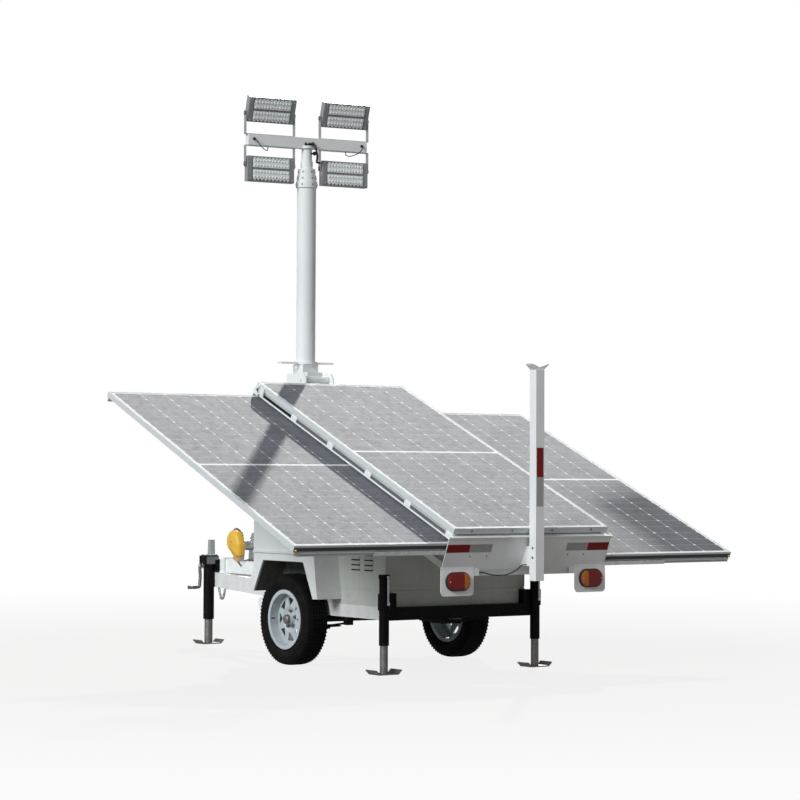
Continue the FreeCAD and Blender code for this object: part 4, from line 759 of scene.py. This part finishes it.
def make_cranks():
    """Bent round handle at the front gearbox, and flat handles folded against the rear jacks."""
    x, y, z = -0.153, 1.633, 0.541
    drop, reach, radius = 0.150, 0.118, 0.0115
    tube("front_crank_bar", [
        (x + 0.004, y, z), (x - 0.010, y, z), (x - 0.024, y, z + 0.002), (x - 0.025, y, z - 0.030),
        (x - 0.020, y, z - 0.070), (x - 0.024, y, z - 0.120), (x - 0.027, y, z - drop),
        (x - 0.045, y, z - drop), (x - reach + 0.004, y, z - drop),
    ], radius, "trailer", CRANK_STEEL)
    grip = [(0.044, 0.0), (0.044, 0.010), (0.052, 0.0135), (0.070, 0.0130), (0.090, 0.0125), (0.110, 0.0138),
            (0.116, 0.0115), (reach, 0.0)]
    collar = [(-0.002, 0.0), (-0.002, 0.017), (0.007, 0.016), (0.010, 0.011), (0.010, 0.0)]
    mesh = Mesh().use(CRANK_STEEL)
    mesh.lathe(grip, 24, -X, (x, y, z - drop), close=False)
    mesh.lathe(collar, 24, -X, (x, y, z), close=False)
    box_low, box_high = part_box("front_jack_tube")
    gearbox = Vector(((box_low.x + box_high.x) / 2, y, box_high.z - 0.031))
    mesh.block(gearbox, (0.1090, 0.0890, 0.0640), bevel=0.007)
    mesh.block(gearbox + Z * 0.033, (0.090, 0.072, 0.006), bevel=0.002)
    for dx in (-0.038, 0.038):
        for dy in (-0.028, 0.028):
            mesh.bolt(gearbox + Vector((dx, dy, 0.0355)), Z, 0.005, 0.5)
    mesh.use(ZINC)
    low, high, pin = 0.412, 0.568, 0.010
    for _, sign in SIDES:
        handle_x, handle_y = sign * 0.567, -1.1715
        mesh.block((handle_x, handle_y, (low + high) / 2), (0.012, 0.007, high - low), bevel=0.002)
        mesh.rod((handle_x, handle_y, high), (handle_x, handle_y, high + pin), 0.008, 16)
        mesh.bolt((handle_x, handle_y - 0.002, low + 0.004), -Y, 0.008, 0.4)
    mesh.finish("crank_handles", "trailer", "galvanised", 35, ("jack_cranks",))


def hull_ring(circles, x, inset, count=72):
    """The outline round a few circles (y, z, radius), in the plane at x."""
    points = []
    for k in range(count):
        cos, sin = math.cos(around(k, count)), math.sin(around(k, count))
        y, z, r = max(circles, key=lambda c: c[0] * cos + c[1] * sin + c[2])
        r = max(r - inset, 0.004)
        points.append(Vector((x, y + r * cos, z + r * sin)))
    return points


def make_winch_cover():
    """Domed gear cover with its tail, a toothed wheel behind it, and the strap below."""
    low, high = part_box("winch_cover")
    radius, inner = 0.076, -0.066
    y, z = (low.y + high.y) / 2, high.z - radius
    circles = ((y, z, radius), (y - 0.030, z - 0.030, 0.060), (y - 0.058, low.z + 0.028, 0.026))
    layers = ((0.0, 0.0), (0.034, 0.0), (0.044, 0.004), (0.052, 0.012), (0.057, 0.026), (0.059, 0.046))
    mesh = Mesh().use(YELLOW)
    rings = []
    for out, inset in layers:
        rings.append(mesh.ring(hull_ring(circles, inner - out, inset)))
        if len(rings) > 1:
            mesh.band(*rings[-2:])
        else:
            mesh.cap(rings[0])
    mesh.cap(rings[-1])
    mesh.use(CRANK_STEEL)
    teeth, root, tip = 22, 0.079, 0.087
    wheel_y, wheel_z = y + 0.012, z + 0.004
    outline = []
    for k in range(teeth * 4):
        r, angle = tip if k % 4 in (1, 2) else root, around(k, teeth * 4)
        outline.append((wheel_y + r * math.cos(angle), wheel_z + r * math.sin(angle)))
    mesh.slab(*([(x, *point) for point in outline] for x in (-0.0655, -0.074)))
    mesh.use(YELLOW).bolt((inner - 0.058, y, z), -X, 0.009, 0.5)
    mesh.use(CRANK_STEEL)
    for angle in (0.6, 2.4, 4.0):
        mesh.bolt((inner - 0.0435, y + 0.066 * math.cos(angle), z + 0.066 * math.sin(angle)), -X, 0.0045, 0.6)
    mesh.use(STRAP).block((-0.034, y - 0.125, 0.5875), (0.046, 0.110, 0.004), bevel=0.0012)
    start, end = Vector((-0.106, y + 0.064, 0.688)), Vector((-0.063, y + 0.010, 0.572))
    hook = Vector((-0.061, y - 0.026, 0.546))
    tail = end - start
    mesh.use(YELLOW).block((start + end) / 2, (tail.length, 0.008, 0.015), turned(X, tail), bevel=0.002)
    mesh.use(CRANK_STEEL).rod(end, hook, 0.005, 12)
    mesh.finish("winch_cover_dressed", "trailer", "winch yellow", 32, ("winch_cover",))


def make_chain():
    """Short safety chain that hangs in a loop under the beam beside the front jack."""
    mesh = Mesh().use(ZINC)
    start, end, sag = Vector((-0.048, 1.500, 0.488)), Vector((-0.048, 1.600, 0.488)), 0.175
    links, wire, half, bow = 19, 0.0036, 0.0125, 0.0075
    round_link, round_wire = 16, 6
    for i in range(links):
        swing = math.pi * ((i + 0.5) / links)
        place = start.lerp(end, 0.5 - 0.5 * math.cos(swing)) - Z * (sag * math.sin(swing))
        ahead = Vector((0, math.sin(swing) * (end.y - start.y) / 2, -sag * math.cos(swing))).normalized()
        turn = turned(X, ahead) @ Matrix.Rotation(math.pi / 2 * (i % 2), 4, "X")
        matrix = Matrix.Translation(place) @ turn
        rings = []
        for a in range(round_link):
            cos, sin = math.cos(around(a, round_link)), math.sin(around(a, round_link))
            along = half * cos + math.copysign(half * 0.35, cos)
            centre, outward = Vector((along * 0.75, bow * sin, 0)), Vector((cos, sin, 0))
            points = []
            for b in range(round_wire):
                lift = around(b, round_wire)
                offset = outward * (wire * math.cos(lift)) + Z * (wire * math.sin(lift))
                points.append(matrix @ (centre + offset))
            rings.append(mesh.ring(points))
        for a in range(round_link):
            mesh.band(rings[a], rings[(a + 1) % round_link])
    mesh.finish("safety_chain_links", "trailer", "galvanised", 50)


def make_panel_trim():
    """A thin dark strip along each drawer's rear face as painted shade of that face, the drawer's corner
    blocks, and terminal boxes under each panel.
    """
    for name, middle, top, body, _ in PANELS:
        mesh = Mesh()
        if body != "trailer":
            # Thin dark strip on the drawer's rear face: painted shade of that shaded face
            mesh.use(EDGE_SHADE).block(slope_point(middle, -0.0007, top - 0.0235), (1.124, 0.0014, 0.0215), SLOPE)
            mesh.use(BRASS)
            outer = middle + math.copysign(MODULE_WIDE / 2, middle)
            inward = -math.copysign(1, middle)
            corner = slope_point(outer + inward * 0.017, 0.012, top - 0.0362)
            mesh.block(corner, (0.030, 0.030, 0.0022), SLOPE, 0.0008)
            mesh.ball(slope_point(outer + inward * 0.014, -0.0045, top - 0.027), 0.008, 1.0)
        mesh.use(CABLE)
        half_way = MODULE_LONG / 2
        for x in (-0.30, 0.0, 0.30):
            box = slope_point(middle + x, half_way, top - 0.017)
            mesh.block(box, (0.105, 0.048, 0.018), SLOPE, 0.003)
        for x in (-0.15, 0.15):
            mesh.rod(slope_point(middle + x - 0.10, half_way, top - 0.014),
                     slope_point(middle + x + 0.10, half_way, top - 0.014), 0.003, 10)
        mesh.finish(f"{name}_panel_trim", body, "black rubber", 35)


def make_rail_slots():
    """Painted shade of the recessed channels along the top rails: thin grey strips on the rails' side faces
    between the spacers, the last one darker.
    """
    mesh = Mesh()
    first, pitch, spacer, segments = 0.009, 0.440, 0.060, 5
    thick, tall, level = 0.0008, 0.0205, -0.0575
    for _, sign in SIDES:
        for i in range(segments):
            start, end = first + i * pitch + spacer, first + (i + 1) * pitch
            # Painted shade in each channel, darkest in the last one
            mesh.use(GAP_SHADE if i == segments - 1 else CHANNEL_SHADE_GREY)
            mesh.block(slope_point(sign * (MODULE_WIDE / 2 + thick / 2), (start + end) / 2, level),
                       (thick, end - start - 0.006, tall), SLOPE)
    mesh.finish("rail_channel_shade", "trailer", "white paint")


def make_array_brackets():
    """Round-ended brackets at the front corners of the fixed panel."""
    mesh = Mesh()
    thick, radius, long, tall = 0.012, 0.033, 0.070, 0.050
    for _, sign in SIDES:
        centre = slope_point(sign * MODULE_WIDE / 2, MODULE_LONG - 0.034, -0.038)
        mesh.use(WHITE).rod(centre, centre + X * sign * thick, radius, 32)
        arm = centre + X * sign * (thick / 2) - (SLOPE @ Y) * (long / 2)
        mesh.block(arm, (thick, long, tall), SLOPE, 0.002)
        mesh.use(DARK_STEEL).bolt(centre + X * sign * thick, X * sign, 0.008, 0.5)
    mesh.finish("array_corner_brackets", "trailer", "white paint", 35)


def make_lamp_plates():
    """White plates with rounded lower corners behind the tail lamps, whiter than the body: partly their own
    paint and partly a painted highlight.
    """
    mesh = Mesh().use(PLATE_WHITE)
    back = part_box("tail_lamps")[1].y
    half, floor, top, corner, steps = 0.1163, 0.4855, 0.6305, 0.022, 6
    outline = [(-half, top), (half, top)]
    for way, start in ((1, 0.0), (-1, -math.pi / 2)):
        for k in range(steps + 1):
            angle = start - math.pi / 2 * k / steps
            outline.append((way * (half - corner) + corner * math.cos(angle),
                            floor + corner + corner * math.sin(angle)))
    for _, sign in SIDES:
        mesh.slab(*([(sign * 0.491 + x, back - depth, z) for x, z in outline] for depth in (0.0002, 0.0018)))
    mesh.finish("tail_lamp_plates", "trailer", "white paint", 35)


def make_arch_walls():
    """Dark wall behind each wheel, inside the arch's outline."""
    mesh = Mesh().use(LINER)
    floor, top, low_half, high_half = 0.424, 0.638, 0.331, 0.226
    outline = [(-low_half, floor), (low_half, floor), (high_half, top), (-high_half, top)]
    for _, sign in SIDES:
        mesh.slab(*([(sign * x, AXLE_Y + y, z) for y, z in outline]
                    for x in (HULL_HALF + 0.0002, HULL_HALF + 0.0022)))
    mesh.finish("arch_walls", "trailer", "black paint")


def make_louvre_slots():
    """Painted shade under the pressed louvres on both sides of the hull: dark strips in the openings and on
    the hull face below them.
    """
    mesh = Mesh().use(GAP_SHADE)
    out, long = 0.009, 0.092
    low, pitch, rows = 0.606, 0.030, 7
    middle, gap = 0.600, 0.046
    for _, sign in SIDES:
        for start in (-gap / 2 - long, gap / 2):
            y = AXLE_Y - middle + start + long / 2
            for row in range(rows):
                z = low + row * pitch
                # Painted shade in the opening under the louvre, then a painted shadow on the hull face below
                # it
                mesh.block((sign * (HULL_HALF + out / 2), y, z - 0.0006), (out - 0.001, long - 0.006, 0.0012))
                mesh.block((sign * (HULL_HALF + 0.0004), y, z - 0.0045), (0.0008, long - 0.004, 0.0075))
    mesh.finish("louvre_slot_shade", "trailer", "white paint")


def make_floor():
    """Wide pale floor that keeps the shadow and turns plain white away from the trailer."""
    reach, near, far = 60, 2.5, 9.0
    data = bpy.data.meshes.new("floor")
    data.from_pydata([(-reach, -reach, 0), (reach, -reach, 0), (reach, reach, 0), (-reach, reach, 0)], [],
                     [(0, 1, 2, 3)])
    floor = add_object("floor", data)
    s = Shader("floor_pale", (0.86, 0.86, 0.86), 0.9, spec=0.1)
    s.colour(s.mix(s.span(s.noise(0.8, 4), 0.35, 0.65), (0.225, 0.212, 0.20), (0.25, 0.238, 0.225)))
    away = s.add("ShaderNodeVectorMath", Vector=s.coords, operation="LENGTH").outputs["Value"]
    glow = s.add("ShaderNodeEmission", Strength=1.0)
    share = s.background_share(s.span(away, near, far, 0.84, 1.0))
    s.blend(share, s.bsdf.outputs[0], glow.outputs[0], "Material Output")
    data.materials.append(s.mat)


def add_sun(name, strength, towards, angle, colour):
    """A sun seen in the given direction, its disc as wide as the angle in degrees."""
    data = bpy.data.lights.new(name, "SUN")
    data.energy = strength
    data.color = colour
    data.angle = math.radians(angle)
    sun = add_object(name, data)
    sun.rotation_mode = "QUATERNION"
    sun.rotation_quaternion = (-towards).to_track_quat("-Z", "Y")


def make_light():
    """Sun from the front right and above, a broad fill from the left, and a bright pale surround."""
    world = bpy.data.worlds.new("surround")
    bpy.context.scene.world = world
    world.use_nodes = True
    nodes = Nodes(world.node_tree)
    lit = world.node_tree.nodes["Background"]
    lit.inputs["Color"].default_value = (0.93, 0.97, 1.0, 1)
    lit.inputs["Strength"].default_value = 0.24
    white = nodes.add("ShaderNodeBackground", Color=(1, 1, 1, 1), Strength=1.0)
    nodes.blend(nodes.background_share(), lit.outputs[0], white.outputs[0], "World Output")
    azimuth, height = math.radians(48), math.radians(36)
    key = Vector((math.cos(azimuth) * math.cos(height), math.sin(azimuth) * math.cos(height),
                  math.sin(height)))
    add_sun("key", 3.0, key, 1.5, (1.0, 0.98, 0.95))
    add_sun("fill", 2.7, Vector((-0.84, -0.22, 0.48)), 28, (0.95, 0.98, 1.0))


def make_camera():
    """The photo's camera, from a fit to the object's own points; its shift is left at 0."""
    focal_px, image_px = 2451.95, 800
    place = (-8.888, -12.718 + AXLE_Y, 1.200)
    azimuth, lift, roll = math.radians(-35.483), math.radians(1.646), math.radians(0.252)
    data = bpy.data.cameras.new("camera")
    data.sensor_width = 36.0
    data.lens = focal_px / image_px * data.sensor_width
    data.clip_end = 200
    camera = add_object("camera", data)
    forward = Vector((-math.sin(azimuth) * math.cos(lift), math.cos(azimuth) * math.cos(lift),
                      math.sin(lift)))
    level = Vector((math.cos(azimuth), math.sin(azimuth), 0))
    upright = level.cross(forward)
    right = math.cos(roll) * level + math.sin(roll) * upright
    up = -math.sin(roll) * level + math.cos(roll) * upright
    camera.matrix_world = Matrix.Translation(place) @ Matrix((right, up, -forward)).transposed().to_4x4()
    bpy.context.scene.camera = camera


def main():
    bpy.context.scene.view_settings.view_transform = "Standard"
    make_camera()
    dress_nodes()
    make_tyres()
    make_wheel_fittings()
    make_tail_lamps()
    make_tapes()
    make_lamp_faces()
    make_mast_fittings()
    make_bar_fittings()
    make_cranks()
    make_winch_cover()
    make_chain()
    make_panel_trim()
    make_rail_slots()
    make_array_brackets()
    make_lamp_plates()
    make_louvre_slots()
    make_arch_walls()
    make_floor()
    make_light()


main()
